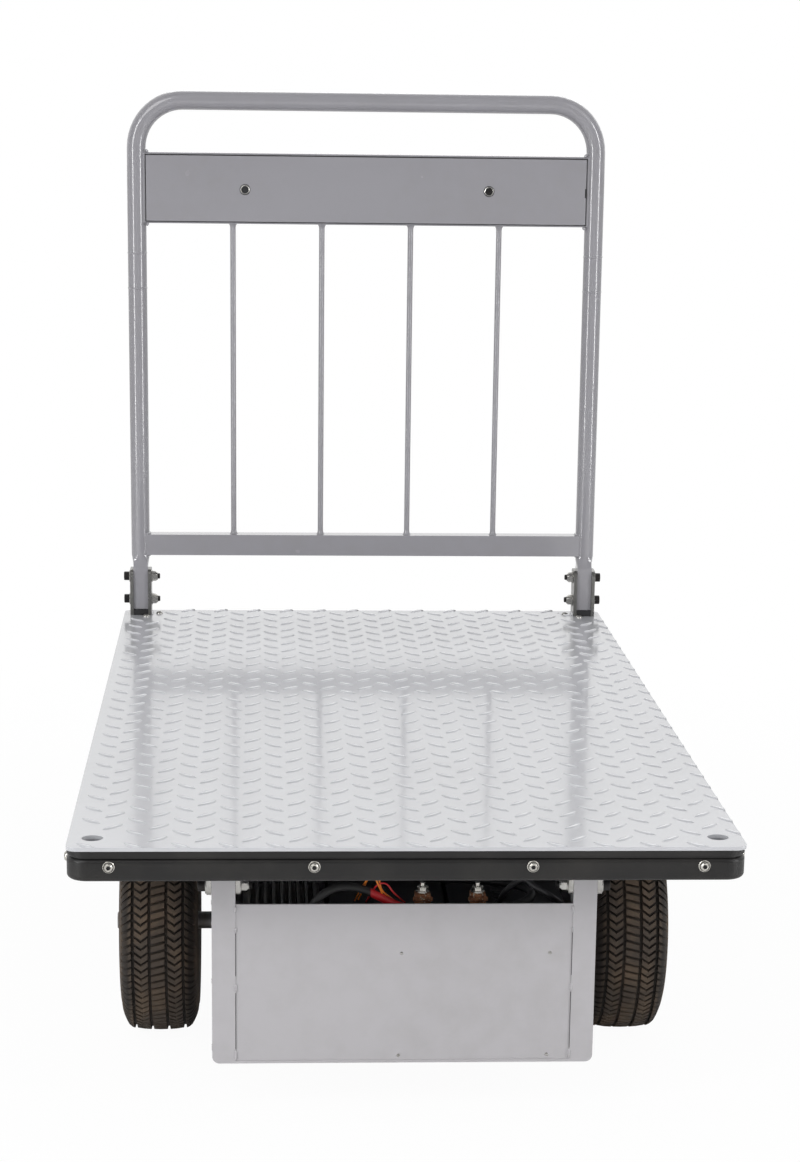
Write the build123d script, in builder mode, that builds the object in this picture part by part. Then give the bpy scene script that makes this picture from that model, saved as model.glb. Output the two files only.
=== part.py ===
"""Electric material handling cart: tear-plate deck, push handle, battery box, drive axle and casters.

Millimetres, +Z up. The origin is on the floor under the middle of the cart. +Y points to the handle
end, which the operator walks behind, and the battery box hangs under the -Y end.
"""

import os
from math import sqrt

from build123d import *

os.makedirs("parts", exist_ok=True)


# Deck
DECK_WIDTH = 711.0
DECK_LENGTH = 1312.0
DECK_HEIGHT = 315.0
PLATE_THICKNESS = 4.0
PLATE_CORNER_R = 12.0
STAKE_HOLE_R = 11.25
STAKE_HOLE_FROM_SIDE = 26.0
STAKE_HOLE_FROM_END = 38.0

# Rim channel and the rubber bumper around it
BUMPER_HEIGHT = 33.0
BUMPER_DEPTH = 11.0
BUMPER_WALL = 4.0
BUMPER_CORNER_R = 22.0
BUMPER_LIP_HEIGHT = 6.0
BUMPER_GROOVE_HEIGHT = 2.5
BUMPER_GROOVE_DEPTH = 2.5
BUMPER_ROUND = 5.0
RIM_WALL = 3.0
RIM_FLANGE = 30.0

# Cross members under the plate
BEAM_WIDTH = 40.0
BEAM_WALL = 3.0
AXLE_BEAM_SPAN = 80.0
CASTER_BEAM_SPAN = 100.0
MIDDLE_BEAM_COUNT = 2

# Handle: a bent tube with a panel, a lower rail and guard rods
HANDLE_FROM_END = 24.0
POST_FROM_SIDE = 25.0
TUBE_R = 13.5
TUBE_WALL = 2.5
HANDLE_RISE = 743.0
HANDLE_BEND_R = 67.0
POST_END_WIDTH = 21.4
POST_END_DEPTH = 28.0
SWAGE_ABOVE_SOCKET = 3.0
POST_SWAGE_LENGTH = 18.0
POST_END_GAP = 4.0
PANEL_BOTTOM_RISE = 571.0
PANEL_HEIGHT = 99.5
PANEL_SHEET = 2.5
PANEL_SETBACK = 3.5
PANEL_FLANGE = 23.0
PANEL_FOLD_R = 3.0
RAIL_BOTTOM_RISE = 89.5
RAIL_HEIGHT = 30.5
RAIL_DEPTH = 25.0
RAIL_WALL = 2.5
COPE_CLEARANCE = 0.1
ROD_R = 4.0
ROD_COUNT = 4

# Clevis sockets of the posts, with their cross bolts
SOCKET_SHEET = 4.8
SOCKET_FIT = 0.1
SOCKET_HEIGHT = 68.0
SOCKET_DEPTH = 36.0
SOCKET_EAR_R = 8.0
SOCKET_BOLT_RISES = (22.0, 56.0)
BOLT_R = 4.0
BOLT_FIT = 0.2
BOLT_HEAD_R = 6.5
BOLT_HEAD_HEIGHT = 8.0
WASHER_R = 9.0
WASHER_THICKNESS = 1.6
NUT_ACROSS_FLATS = 13.0
NUT_HEIGHT = 8.0
BOLT_TIP = 3.0

# Control unit behind the panel
CONTROL_WIDTH = 396.0
CONTROL_MARGIN = 1.0
CONTROL_DEPTH = 21.0
CONTROL_FACE_R = 5.0
CONTROL_CHAMFER = 2.0
KNOB_R = 14.0
KNOB_HEIGHT = 9.0
KNOB_TAPER = 8.0
KNOB_X = 110.0
KEY_R = 9.0
KEY_HEIGHT = 6.0
KEY_X = -110.0
ROCKER_WIDTH = 34.0
ROCKER_DEPTH = 6.0
ROCKER_HEIGHT = 22.0
ROCKER_LOW_END = 3.0
ROCKER_DIP = 2.7

# Battery box
BOX_WIDTH = 412.0
BOX_DEPTH = 205.0
BOX_HEIGHT = 179.0
BOX_FROM_END = 60.0
BOX_CLEARANCE = 56.0
BOX_SHEET = 2.5
BOX_FLOOR = 3.0
BOX_CORNER_R = 8.0
BOX_PLATE_SETBACK = 0.8
LEG_SIZE = 25.4
LEG_WALL = 2.5
LEG_CORNER_R = 2.0
LEG_TOP_GAP = 5.0

# Hangers that carry the box legs
HANGER_SHEET = 5.0
HANGER_FIT = 0.3
HANGER_DROP = 34.0
HANGER_DEPTH = 24.0
HANGER_BOLT_DROP = 25.0
HANGER_EAR_R = 7.0

# Batteries, their terminals and the motor controller
BATTERY_WIDTH = 130.0
BATTERY_DEPTH = 195.0
BATTERY_HEIGHT = 157.0
BATTERY_LID_HEIGHT = 16.0
BATTERY_LID_INSET = 2.0
BATTERY_CORNER_R = 4.0
BATTERY_GAP = 1.4
BATTERY_SIDE_GAP = 0.1
TERMINAL_INSET_X = 29.0
TERMINAL_INSET_Y = 20.0
TERMINAL_SIZE = 15.0
TERMINAL_HEIGHT = 12.0
TERMINAL_HEAD_R = 5.5
TERMINAL_HEAD_HEIGHT = 4.0
CONTROLLER_GAP = 8.0
CONTROLLER_DEPTH = 130.0
CONTROLLER_HEIGHT = 150.0
CONTROLLER_FIN_HEIGHT = 14.0
CONTROLLER_FIN = 3.0
CONTROLLER_FIN_PITCH = 9.0

# Drive axle
AXLE_FROM_END = 350.0
TYRE_R = 128.0
TYRE_WIDTH = 89.0
TYRE_FROM_SIDE = 41.0
SHAFT_R = 10.0
SHAFT_FIT = 0.05
SHAFT_IN_TUBE = 45.0
SHAFT_END_GAP = 1.0
SHAFT_CHAMFER = 1.0
AXLE_TUBE_R = 25.0
AXLE_TUBE_FROM_TYRE = 25.5
AXLE_FLANGE_R = 34.0
AXLE_FLANGE_WIDTH = 14.0
CASE_R = 62.0
CASE_HALF_WIDTH = 46.0
CASE_FLAT_HALF = 20.7
CASE_SHOULDER_R = 42.0
CASE_NECK_WIDTH = 24.0
CASE_RIB = 6.0
CASE_RIB_COUNT = 6
CASE_RIB_START = 30.0
MOTOR_R = 46.0
MOTOR_LENGTH = 150.0
MOTOR_FLANGE_R = 52.0
MOTOR_FLANGE_WIDTH = 12.0
MOTOR_NECK = 12.0
MOTOR_END_ROUND = 4.0
BRAKE_R = 38.0
BRAKE_LENGTH = 34.0
BRAKE_COVER = 6.0

# Brackets that hold the drive axle under the deck
BRACKET_FROM_TUBE_END = 50.0
BRACKET_PLATE = 8.0
BRACKET_FLANGE_WIDTH = 60.0
BRACKET_FLANGE_LENGTH = 120.0
BRACKET_TOP_INSET = 8.0
BRACKET_TOP_BAND = 1.0
BRACKET_RING_R = 38.0
BRACKET_FIT = 0.15
BRACKET_GUSSET = 6.0

# Rim of the drive wheels
RIM_SEAT_R = 51.0
RIM_EDGE_R = 60.0
RIM_WIDTH = 74.0
RIM_SHEET = 3.0
RIM_DISC_X = 6.0
RIM_BOLT_CIRCLE_R = 33.0
RIM_BOLT_COUNT = 4
RIM_BOLT_HOLE_R = 4.0
HUB_R = 20.0
HUB_LENGTH = 70.0
HUB_NUT_FLATS = 27.0
HUB_NUT_HEIGHT = 12.0
HUB_CAP = 4.0
TYRE_BEAD_GAP = 0.1
TYRE_SIDEWALL = 7.0
TYRE_TREAD = 12.0
TYRE_LIP = 2.0
TYRE_MID_R = 88.0
TYRE_LOWER_BULGE = (1.5, 10.0)
TYRE_UPPER_BULGE = (1.0, 12.0)
TYRE_SHOULDER_R = 118.0
TYRE_SHOULDER_INSET = 6.0
TYRE_SHOULDER_MID = (8.1, 5.2)
TYRE_CROWN_DROP = 2.2
TYRE_INNER_DROP = 6.0
TYRE_INNER_BULGE = 1.0

# Swivel casters at the handle end
CASTER_FROM_SIDE = 160.5
CASTER_FROM_END = 186.0
CASTER_WHEEL_R = 100.0
CASTER_WHEEL_WIDTH = 46.0
CASTER_TRAIL = 55.0
CASTER_TREAD = 16.0
CASTER_TREAD_BEVEL = 4.0
CASTER_TREAD_SHOULDER_DROP = 1.5
CASTER_TREAD_SIDE_DROP = 7.0
CASTER_BEAM_WIDTH = 140.0
CASTER_BEAM_HEIGHT = 38.0
CASTER_BEAM_WALL = 4.0
CASTER_PLATE_LENGTH = 126.0
CASTER_PLATE_WIDTH = 112.0
CASTER_PLATE_THICKNESS = 6.0
CASTER_PLATE_R = 10.0
CASTER_RACE_R = 41.0
CASTER_UPPER_RACE = 8.0
CASTER_RACE_CHAMFER = 3.0
CASTER_RACE_GAP = 0.5
CASTER_LOWER_RACE = 12.0
CASTER_LOWER_RACE_STEP = 2.0
CASTER_LOWER_RACE_TAPER = 6.0
CASTER_CROWN = 6.0
CASTER_CROWN_R = 45.0
CASTER_CROWN_DEPTH = 66.0
FORK_GAP = 57.0
FORK_LEG = 5.0
FORK_BOSS_R = 19.0
KINGPIN_R = 6.0
KINGPIN_HEAD_R = 12.0
KINGPIN_HEAD = 8.0
CASTER_HUB_R = 17.0
CASTER_HUB_WIDTH = 54.0
CASTER_AXLE_R = 6.0
CASTER_AXLE_FIT = 0.05
CASTER_AXLE_NUT_FLATS = 19.0
CASTER_AXLE_NUT = 9.0
CASTER_WEB = 8.0
CASTER_RIM_WALL = 6.0
CASTER_SPOKE_COUNT = 6
CASTER_SPOKE = 6.0
CASTER_SPOKE_ROOT = 1.0
CASTER_SPOKE_SETBACK = 3.0

# Battery leads, by hand-chosen poles of a smooth curve: x, y from the box front, height over the floor
LEAD_R = 4.5
LEAD_POLES = {
    "positive": (
        (-110.0, 37.2, 190.0),
        (-110.0, 12.0, 190.0),
        (-112.0, 4.0, 255.0),
        (-60.0, 8.0, 292.0),
        (-30.0, 25.0, 222.0),
        (12.3, 25.0, 222.0),
    ),
    "link": (
        (87.3, 25.0, 222.0),
        (130.0, 25.0, 222.0),
        (185.0, 40.0, 236.0),
        (150.0, 160.0, 228.0),
        (20.1, 105.0, 222.0),
        (20.1, 168.2, 222.0),
    ),
    "negative": (
        (71.7, 180.0, 222.0),
        (52.0, 180.0, 222.0),
        (50.0, 206.0, 223.0),
        (-10.0, 196.0, 224.0),
        (-104.0, 196.0, 256.0),
        (-116.0, 196.0, 214.0),
        (-112.0, 192.0, 200.0),
        (-112.0, 167.8, 200.0),
    ),
}


# Levels and places worked out from the sizes above
plate_under = DECK_HEIGHT - PLATE_THICKNESS
frame_bottom = plate_under - BUMPER_HEIGHT
rim_half_x = DECK_WIDTH / 2 - BUMPER_DEPTH
rim_half_y = DECK_LENGTH / 2 - BUMPER_DEPTH
deck_front = -DECK_LENGTH / 2
deck_back = DECK_LENGTH / 2
handle_y = deck_back - HANDLE_FROM_END
axle_y = deck_front + AXLE_FROM_END
axle_z = TYRE_R
tyre_outer_x = DECK_WIDTH / 2 - TYRE_FROM_SIDE
axle_tube_end_x = tyre_outer_x - TYRE_WIDTH - AXLE_TUBE_FROM_TYRE
bracket_x = axle_tube_end_x - BRACKET_FROM_TUBE_END
caster_swivel_x = DECK_WIDTH / 2 - CASTER_FROM_SIDE
caster_swivel_y = deck_back - CASTER_FROM_END
box_front = deck_front + BOX_FROM_END
box_back = box_front + BOX_DEPTH
leg_x = BOX_WIDTH / 2 - LEG_SIZE / 2
leg_ys = (box_front + LEG_SIZE / 2, box_back - LEG_SIZE / 2)
leg_top = frame_bottom - HANGER_SHEET - LEG_TOP_GAP


def save(part: Part, name: str) -> None:
    """Label a finished piece and write it as its own STEP file."""
    part.label = name
    export_step(part, f"parts/{name}.step")


def rounded(width: float, length: float, radius: float) -> None:
    """Add a rounded rectangle, or a plain one where the radius has run out."""
    if radius > 0:
        RectangleRounded(width, length, radius)
    else:
        Rectangle(width, length)


# Deck plate with a stake hole at each front corner
stake_points = [
    (side * (DECK_WIDTH / 2 - STAKE_HOLE_FROM_SIDE), deck_front + STAKE_HOLE_FROM_END) for side in (-1, 1)
]
with BuildPart() as deck_plate:
    with BuildSketch(Plane.XY.offset(plate_under)):
        rounded(DECK_WIDTH, DECK_LENGTH, PLATE_CORNER_R)
        with Locations(*stake_points):
            Circle(STAKE_HOLE_R, mode=Mode.SUBTRACT)
    extrude(amount=PLATE_THICKNESS)
save(deck_plate.part, "deck_plate")

# Rim channel, open to the inside, all around under the plate
rim_corner_r = BUMPER_CORNER_R - BUMPER_DEPTH
with BuildPart() as deck_rim:
    with BuildSketch(Plane.XY.offset(frame_bottom)):
        rounded(2 * rim_half_x, 2 * rim_half_y, rim_corner_r)
        Rectangle(2 * (rim_half_x - RIM_FLANGE), 2 * (rim_half_y - RIM_FLANGE), mode=Mode.SUBTRACT)
    extrude(amount=BUMPER_HEIGHT)
    with BuildSketch(Plane.XY.offset(frame_bottom + RIM_WALL)):
        rounded(2 * (rim_half_x - RIM_WALL), 2 * (rim_half_y - RIM_WALL), rim_corner_r - RIM_WALL)
    extrude(amount=BUMPER_HEIGHT - 2 * RIM_WALL, mode=Mode.SUBTRACT)
    with BuildSketch(Plane.XY.offset(plate_under)):
        with Locations(*stake_points):
            Circle(STAKE_HOLE_R)
    extrude(amount=-RIM_WALL, mode=Mode.SUBTRACT)
save(deck_rim.part, "deck_rim")

# Cross members: square tubes between the flanges of the rim channel
beam_length = 2 * (rim_half_x - RIM_FLANGE)
axle_beam_ys = (axle_y - AXLE_BEAM_SPAN / 2, axle_y + AXLE_BEAM_SPAN / 2)
caster_beam_ys = (caster_swivel_y - CASTER_BEAM_SPAN / 2, caster_swivel_y + CASTER_BEAM_SPAN / 2)
middle_step = (caster_beam_ys[0] - axle_beam_ys[1]) / (MIDDLE_BEAM_COUNT + 1)
middle_beam_ys = [axle_beam_ys[1] + (beam + 1) * middle_step for beam in range(MIDDLE_BEAM_COUNT)]
with BuildPart() as cross_members:
    for place in (*leg_ys, *axle_beam_ys, *middle_beam_ys, *caster_beam_ys):
        with BuildSketch(Plane.YZ.offset(-beam_length / 2)):
            with Locations((place, frame_bottom + BUMPER_HEIGHT / 2)):
                Rectangle(BEAM_WIDTH, BUMPER_HEIGHT)
                Rectangle(BEAM_WIDTH - 2 * BEAM_WALL, BUMPER_HEIGHT - 2 * BEAM_WALL, mode=Mode.SUBTRACT)
        extrude(amount=beam_length)
save(cross_members.part, "cross_members")

# Rubber bumper: a lip, a groove and a bulged face, hollow towards the rim channel
groove_top = plate_under - BUMPER_LIP_HEIGHT
groove_bottom = groove_top - BUMPER_GROOVE_HEIGHT
with BuildPart() as bumper:
    with BuildSketch(Plane.XY.offset(frame_bottom)):
        rounded(DECK_WIDTH, DECK_LENGTH, BUMPER_CORNER_R)
    extrude(amount=groove_bottom - frame_bottom)
    face_edges = bumper.faces().sort_by(Axis.Z)[0].edges() + bumper.faces().sort_by(Axis.Z)[-1].edges()
    fillet(face_edges, BUMPER_ROUND)
    with BuildSketch(Plane.XY.offset(groove_bottom)):
        rounded(
            DECK_WIDTH - 2 * BUMPER_GROOVE_DEPTH,
            DECK_LENGTH - 2 * BUMPER_GROOVE_DEPTH,
            BUMPER_CORNER_R - BUMPER_GROOVE_DEPTH,
        )
    extrude(amount=BUMPER_GROOVE_HEIGHT)
    with BuildSketch(Plane.XY.offset(groove_top)):
        rounded(DECK_WIDTH, DECK_LENGTH, BUMPER_CORNER_R)
    extrude(amount=BUMPER_LIP_HEIGHT)
    with BuildSketch(Plane.XY.offset(frame_bottom)):
        rounded(2 * rim_half_x, 2 * rim_half_y, rim_corner_r)
    extrude(amount=BUMPER_HEIGHT, mode=Mode.SUBTRACT)
    with BuildSketch(Plane.XY.offset(frame_bottom + BUMPER_WALL)):
        rounded(
            DECK_WIDTH - 2 * BUMPER_GROOVE_DEPTH - 2 * BUMPER_WALL,
            DECK_LENGTH - 2 * BUMPER_GROOVE_DEPTH - 2 * BUMPER_WALL,
            BUMPER_CORNER_R - BUMPER_GROOVE_DEPTH - BUMPER_WALL,
        )
    extrude(amount=groove_bottom - frame_bottom - 2 * BUMPER_WALL, mode=Mode.SUBTRACT)
save(bumper.part, "bumper")

# Caster beam: a wide channel, open below, under the last two cross members
caster_beam_bottom = frame_bottom - CASTER_BEAM_HEIGHT
with BuildPart() as caster_beam:
    with BuildSketch(Plane.YZ.offset(-beam_length / 2)):
        with Locations((caster_swivel_y, frame_bottom - CASTER_BEAM_HEIGHT / 2)):
            Rectangle(CASTER_BEAM_WIDTH, CASTER_BEAM_HEIGHT)
            Rectangle(
                CASTER_BEAM_WIDTH - 2 * CASTER_BEAM_WALL,
                CASTER_BEAM_HEIGHT - 2 * CASTER_BEAM_WALL,
                mode=Mode.SUBTRACT,
            )
    extrude(amount=beam_length)
save(caster_beam.part, "caster_beam")

# Handle tube: round above, swaged to a squared end in each socket
post_x = DECK_WIDTH / 2 - POST_FROM_SIDE
handle_top_z = DECK_HEIGHT + HANDLE_RISE
post_end_z = DECK_HEIGHT + SOCKET_SHEET + POST_END_GAP
swage_bottom_z = DECK_HEIGHT + SOCKET_HEIGHT + SWAGE_ABOVE_SOCKET
swage_top_z = swage_bottom_z + POST_SWAGE_LENGTH
handle_plane = Plane.XZ.offset(-handle_y)


with BuildLine(handle_plane) as handle_path:
    FilletPolyline(
        (-post_x, swage_top_z),
        (-post_x, handle_top_z),
        (post_x, handle_top_z),
        (post_x, swage_top_z),
        radius=HANDLE_BEND_R,
    )


def add_handle_solid(inset: float, mode: Mode) -> None:
    """Add or cut the whole handle, its section made smaller all around by the inset."""
    for side in (-1, 1):
        with BuildSketch(Plane.XY.offset(post_end_z)) as post_end:
            with Locations((side * post_x, handle_y)):
                Rectangle(POST_END_WIDTH - 2 * inset, POST_END_DEPTH - 2 * inset)
        extrude(post_end.sketch, amount=swage_bottom_z - post_end_z, mode=mode)
        with BuildSketch(Plane.XY.offset(swage_bottom_z)) as swage_bottom:
            with Locations((side * post_x, handle_y)):
                Rectangle(POST_END_WIDTH - 2 * inset, POST_END_DEPTH - 2 * inset)
        with BuildSketch(Plane.XY.offset(swage_top_z)) as swage_top:
            with Locations((side * post_x, handle_y)):
                Circle(TUBE_R - inset)
        loft([swage_bottom.sketch.face(), swage_top.sketch.face()], mode=mode)
    with BuildSketch(Plane.XY.offset(swage_top_z)) as tube_section:
        with Locations((-post_x, handle_y)):
            Circle(TUBE_R - inset)
    sweep(tube_section.sketch, path=handle_path.wires()[0], mode=mode)


with BuildPart() as handle_tube:
    add_handle_solid(0, Mode.ADD)
    add_handle_solid(TUBE_WALL, Mode.SUBTRACT)
    for rise in SOCKET_BOLT_RISES:
        with BuildSketch(Plane.YZ.offset(-post_x - POST_END_WIDTH)):
            with Locations((handle_y, DECK_HEIGHT + rise)):
                Circle(BOLT_R + BOLT_FIT)
        extrude(amount=2 * (post_x + POST_END_WIDTH), mode=Mode.SUBTRACT)
save(handle_tube.part, "handle_tube")


def cope_posts() -> None:
    """Cut the round of both posts out of a piece that ends against them."""
    with BuildSketch(Plane.XY.offset(DECK_HEIGHT)) as post_rounds:
        with Locations((-post_x, handle_y), (post_x, handle_y)):
            Circle(TUBE_R + COPE_CLEARANCE)
    extrude(post_rounds.sketch, amount=HANDLE_RISE, mode=Mode.SUBTRACT)


# Handle panel: a sheet folded back along its top and bottom, coped around the posts
panel_bottom_z = DECK_HEIGHT + PANEL_BOTTOM_RISE
panel_mid_z = panel_bottom_z + PANEL_HEIGHT / 2
panel_front_y = handle_y - TUBE_R + PANEL_SETBACK
panel_back_y = panel_front_y + PANEL_FLANGE
with BuildPart() as handle_panel:
    with BuildSketch(Plane.YZ.offset(-post_x)):
        with Locations((panel_front_y + PANEL_FLANGE / 2, panel_mid_z)):
            Rectangle(PANEL_FLANGE, PANEL_HEIGHT)
    extrude(amount=2 * post_x)
    fillet(handle_panel.edges().filter_by(Axis.X).group_by(Axis.Y)[0], PANEL_FOLD_R)
    with BuildSketch(Plane.YZ.offset(-post_x)):
        with Locations((panel_front_y + PANEL_SHEET + PANEL_FLANGE / 2, panel_mid_z)):
            Rectangle(PANEL_FLANGE, PANEL_HEIGHT - 2 * PANEL_SHEET)
    extrude(amount=2 * post_x, mode=Mode.SUBTRACT)
    cope_posts()
save(handle_panel.part, "handle_panel")

# Lower rail: a square tube coped around the posts
rail_bottom_z = DECK_HEIGHT + RAIL_BOTTOM_RISE
rail_top_z = rail_bottom_z + RAIL_HEIGHT
with BuildPart() as lower_rail:
    with BuildSketch(Plane.YZ.offset(-post_x)):
        with Locations((handle_y, rail_bottom_z + RAIL_HEIGHT / 2)):
            Rectangle(RAIL_DEPTH, RAIL_HEIGHT)
            Rectangle(RAIL_DEPTH - 2 * RAIL_WALL, RAIL_HEIGHT - 2 * RAIL_WALL, mode=Mode.SUBTRACT)
    extrude(amount=2 * post_x)
    cope_posts()
save(lower_rail.part, "lower_rail")

# Guard rods between the lower rail and the panel
rod_bay = (2 * post_x - 2 * TUBE_R - 2 * ROD_COUNT * ROD_R) / (ROD_COUNT + 1)
rod_pitch = rod_bay + 2 * ROD_R
with BuildPart() as guard_rods:
    with BuildSketch(Plane.XY.offset(rail_top_z)):
        with Locations((0, handle_y)):
            with GridLocations(rod_pitch, 1, ROD_COUNT, 1):
                Circle(ROD_R)
    extrude(amount=panel_bottom_z - rail_top_z)
save(guard_rods.part, "guard_rods")

# Control unit behind the panel, with a knob, a key switch and a rocker on the operator's side
control_front_y = panel_front_y + PANEL_SHEET
control_back_y = control_front_y + CONTROL_DEPTH
control_height = PANEL_HEIGHT - 2 * PANEL_SHEET - 2 * CONTROL_MARGIN
with BuildPart() as control_unit:
    with BuildSketch(Plane.XZ.offset(-control_front_y)):
        with Locations((0, panel_mid_z)):
            rounded(CONTROL_WIDTH, control_height, CONTROL_FACE_R)
    extrude(amount=-CONTROL_DEPTH)
    chamfer(control_unit.faces().sort_by(Axis.Y)[-1].edges(), CONTROL_CHAMFER)
    with BuildSketch(Plane.XZ.offset(-control_back_y)):
        with Locations((KEY_X, panel_mid_z)):
            Circle(KEY_R)
    extrude(amount=-KEY_HEIGHT)
save(control_unit.part, "control_unit")

with BuildPart() as speed_knob:
    with BuildSketch(Plane.XZ.offset(-control_back_y)):
        with Locations((KNOB_X, panel_mid_z)):
            Circle(KNOB_R)
    extrude(amount=-KNOB_HEIGHT, taper=KNOB_TAPER)
save(speed_knob.part, "speed_knob")

with BuildPart() as rocker_switch:
    with BuildSketch(Plane.YZ.offset(-ROCKER_WIDTH / 2)):
        with BuildLine():
            rocker_low = (control_back_y, panel_mid_z - ROCKER_HEIGHT / 2)
            rocker_high = (control_back_y, panel_mid_z + ROCKER_HEIGHT / 2)
            rocker_tip_low = (control_back_y + ROCKER_LOW_END, rocker_low[1])
            rocker_tip_high = (control_back_y + ROCKER_DEPTH, rocker_high[1])
            Polyline(rocker_tip_low, rocker_low, rocker_high, rocker_tip_high)
            ThreePointArc(rocker_tip_high, (control_back_y + ROCKER_DIP, panel_mid_z), rocker_tip_low)
        make_face()
    extrude(amount=ROCKER_WIDTH)
save(rocker_switch.part, "rocker_switch")


def bolt_across(centre_x: float, y: float, z: float, grip: float, outward: int) -> None:
    """Add a cross bolt along X: socket head on the outward side, washers, and a nut on the other."""
    half = grip / 2
    stack = (
        ("washer", half, half + WASHER_THICKNESS, WASHER_R, 0),
        ("head", half + WASHER_THICKNESS, half + WASHER_THICKNESS + BOLT_HEAD_HEIGHT, BOLT_HEAD_R, 0),
        ("shank", -half - WASHER_THICKNESS - NUT_HEIGHT - BOLT_TIP, half + WASHER_THICKNESS, BOLT_R, 0),
        ("far washer", -half - WASHER_THICKNESS, -half, WASHER_R, 0),
        ("nut", -half - WASHER_THICKNESS - NUT_HEIGHT, -half - WASHER_THICKNESS, NUT_ACROSS_FLATS / sqrt(3), 6),
    )
    for _kind, low, high, radius, sides in stack:
        start, end = sorted((centre_x + outward * low, centre_x + outward * high))
        with BuildSketch(Plane.YZ.offset(start)) as section:
            with Locations((y, z)):
                if sides:
                    RegularPolygon(radius, sides)
                else:
                    Circle(radius)
        extrude(section.sketch, amount=end - start)


# Post sockets and their bolts, one of each on both sides
socket_gap = POST_END_WIDTH + 2 * SOCKET_FIT
socket_width = socket_gap + 2 * SOCKET_SHEET
for side, word in ((-1, "left"), (1, "right")):
    with BuildPart() as handle_socket:
        with BuildSketch(Plane.XZ.offset(-handle_y - SOCKET_DEPTH / 2)):
            with Locations((side * post_x, DECK_HEIGHT + SOCKET_HEIGHT / 2)):
                Rectangle(socket_width, SOCKET_HEIGHT)
            with Locations((side * post_x, DECK_HEIGHT + SOCKET_SHEET + SOCKET_HEIGHT / 2)):
                Rectangle(socket_gap, SOCKET_HEIGHT, mode=Mode.SUBTRACT)
        extrude(amount=SOCKET_DEPTH)
        fillet(handle_socket.edges().filter_by(Axis.X).group_by(Axis.Z)[-1], SOCKET_EAR_R)
        for rise in SOCKET_BOLT_RISES:
            with BuildSketch(Plane.YZ.offset(side * post_x - socket_width / 2)):
                with Locations((handle_y, DECK_HEIGHT + rise)):
                    Circle(BOLT_R + BOLT_FIT)
            extrude(amount=socket_width, mode=Mode.SUBTRACT)
    save(handle_socket.part, f"handle_socket_{word}")
with BuildPart() as socket_bolts:
    for side in (-1, 1):
        for rise in SOCKET_BOLT_RISES:
            bolt_across(side * post_x, handle_y, DECK_HEIGHT + rise, socket_width, side)
save(socket_bolts.part, "socket_bolts")

# Battery box: four square-tube legs with plates welded between them and a floor
leg_points = [(side * leg_x, leg_y) for side in (-1, 1) for leg_y in leg_ys]
box_mid_y = (box_front + box_back) / 2
box_bottom = BOX_CLEARANCE
plate_run_x = BOX_WIDTH - 2 * LEG_SIZE
plate_run_y = BOX_DEPTH - 2 * LEG_SIZE
with BuildPart() as battery_box:
    with BuildSketch(Plane.XY.offset(box_bottom)):
        with Locations((0, box_mid_y)):
            Rectangle(BOX_WIDTH, BOX_DEPTH)
    extrude(amount=BOX_FLOOR)
    with BuildSketch(Plane.XY.offset(box_bottom)):
        with Locations(*leg_points):
            Rectangle(LEG_SIZE, LEG_SIZE)
    extrude(amount=leg_top - box_bottom)
    with BuildSketch(Plane.XY.offset(box_bottom)):
        with Locations((0, box_front + BOX_PLATE_SETBACK + BOX_SHEET / 2)):
            Rectangle(plate_run_x, BOX_SHEET)
        with Locations((0, box_back - BOX_PLATE_SETBACK - BOX_SHEET / 2)):
            Rectangle(plate_run_x, BOX_SHEET)
        for side in (-1, 1):
            with Locations((side * (BOX_WIDTH / 2 - BOX_PLATE_SETBACK - BOX_SHEET / 2), box_mid_y)):
                Rectangle(BOX_SHEET, plate_run_y)
    extrude(amount=BOX_HEIGHT)
    with BuildSketch(Plane.XZ.offset(-box_front)) as box_outline:
        with Locations((0, (box_bottom + leg_top) / 2)):
            Rectangle(BOX_WIDTH, leg_top - box_bottom)
        fillet(box_outline.vertices().group_by(Axis.Y)[0], BOX_CORNER_R)
    extrude(amount=-BOX_DEPTH, mode=Mode.INTERSECT)
    with BuildSketch(Plane.XY.offset(leg_top)):
        with Locations(*leg_points):
            RectangleRounded(LEG_SIZE - 2 * LEG_WALL, LEG_SIZE - 2 * LEG_WALL, LEG_CORNER_R)
    extrude(amount=-(leg_top - box_bottom - BOX_CORNER_R), mode=Mode.SUBTRACT)
    with BuildSketch(Plane.YZ.offset(-BOX_WIDTH / 2)):
        with Locations(*[(leg_y, frame_bottom - HANGER_BOLT_DROP) for leg_y in leg_ys]):
            Circle(BOLT_R + BOLT_FIT)
    extrude(amount=BOX_WIDTH, mode=Mode.SUBTRACT)
save(battery_box.part, "battery_box")

# Hangers: clevises under the cross members that hold the tops of the legs
hanger_gap = LEG_SIZE + 2 * HANGER_FIT
hanger_width = hanger_gap + 2 * HANGER_SHEET
with BuildPart() as box_hangers:
    for side in (-1, 1):
        for leg_y in leg_ys:
            with BuildSketch(Plane.XZ.offset(-leg_y - HANGER_DEPTH / 2)):
                with Locations((side * leg_x, frame_bottom - HANGER_DROP / 2)):
                    Rectangle(hanger_width, HANGER_DROP)
                with Locations((side * leg_x, frame_bottom - HANGER_SHEET - HANGER_DROP / 2)):
                    Rectangle(hanger_gap, HANGER_DROP, mode=Mode.SUBTRACT)
            extrude(amount=HANGER_DEPTH)
    fillet(box_hangers.edges().filter_by(Axis.X).group_by(Axis.Z)[0], HANGER_EAR_R)
    with BuildSketch(Plane.YZ.offset(-BOX_WIDTH)):
        with Locations(*[(leg_y, frame_bottom - HANGER_BOLT_DROP) for leg_y in leg_ys]):
            Circle(BOLT_R + BOLT_FIT)
    extrude(amount=2 * BOX_WIDTH, mode=Mode.SUBTRACT)
save(box_hangers.part, "box_hangers")
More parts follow.
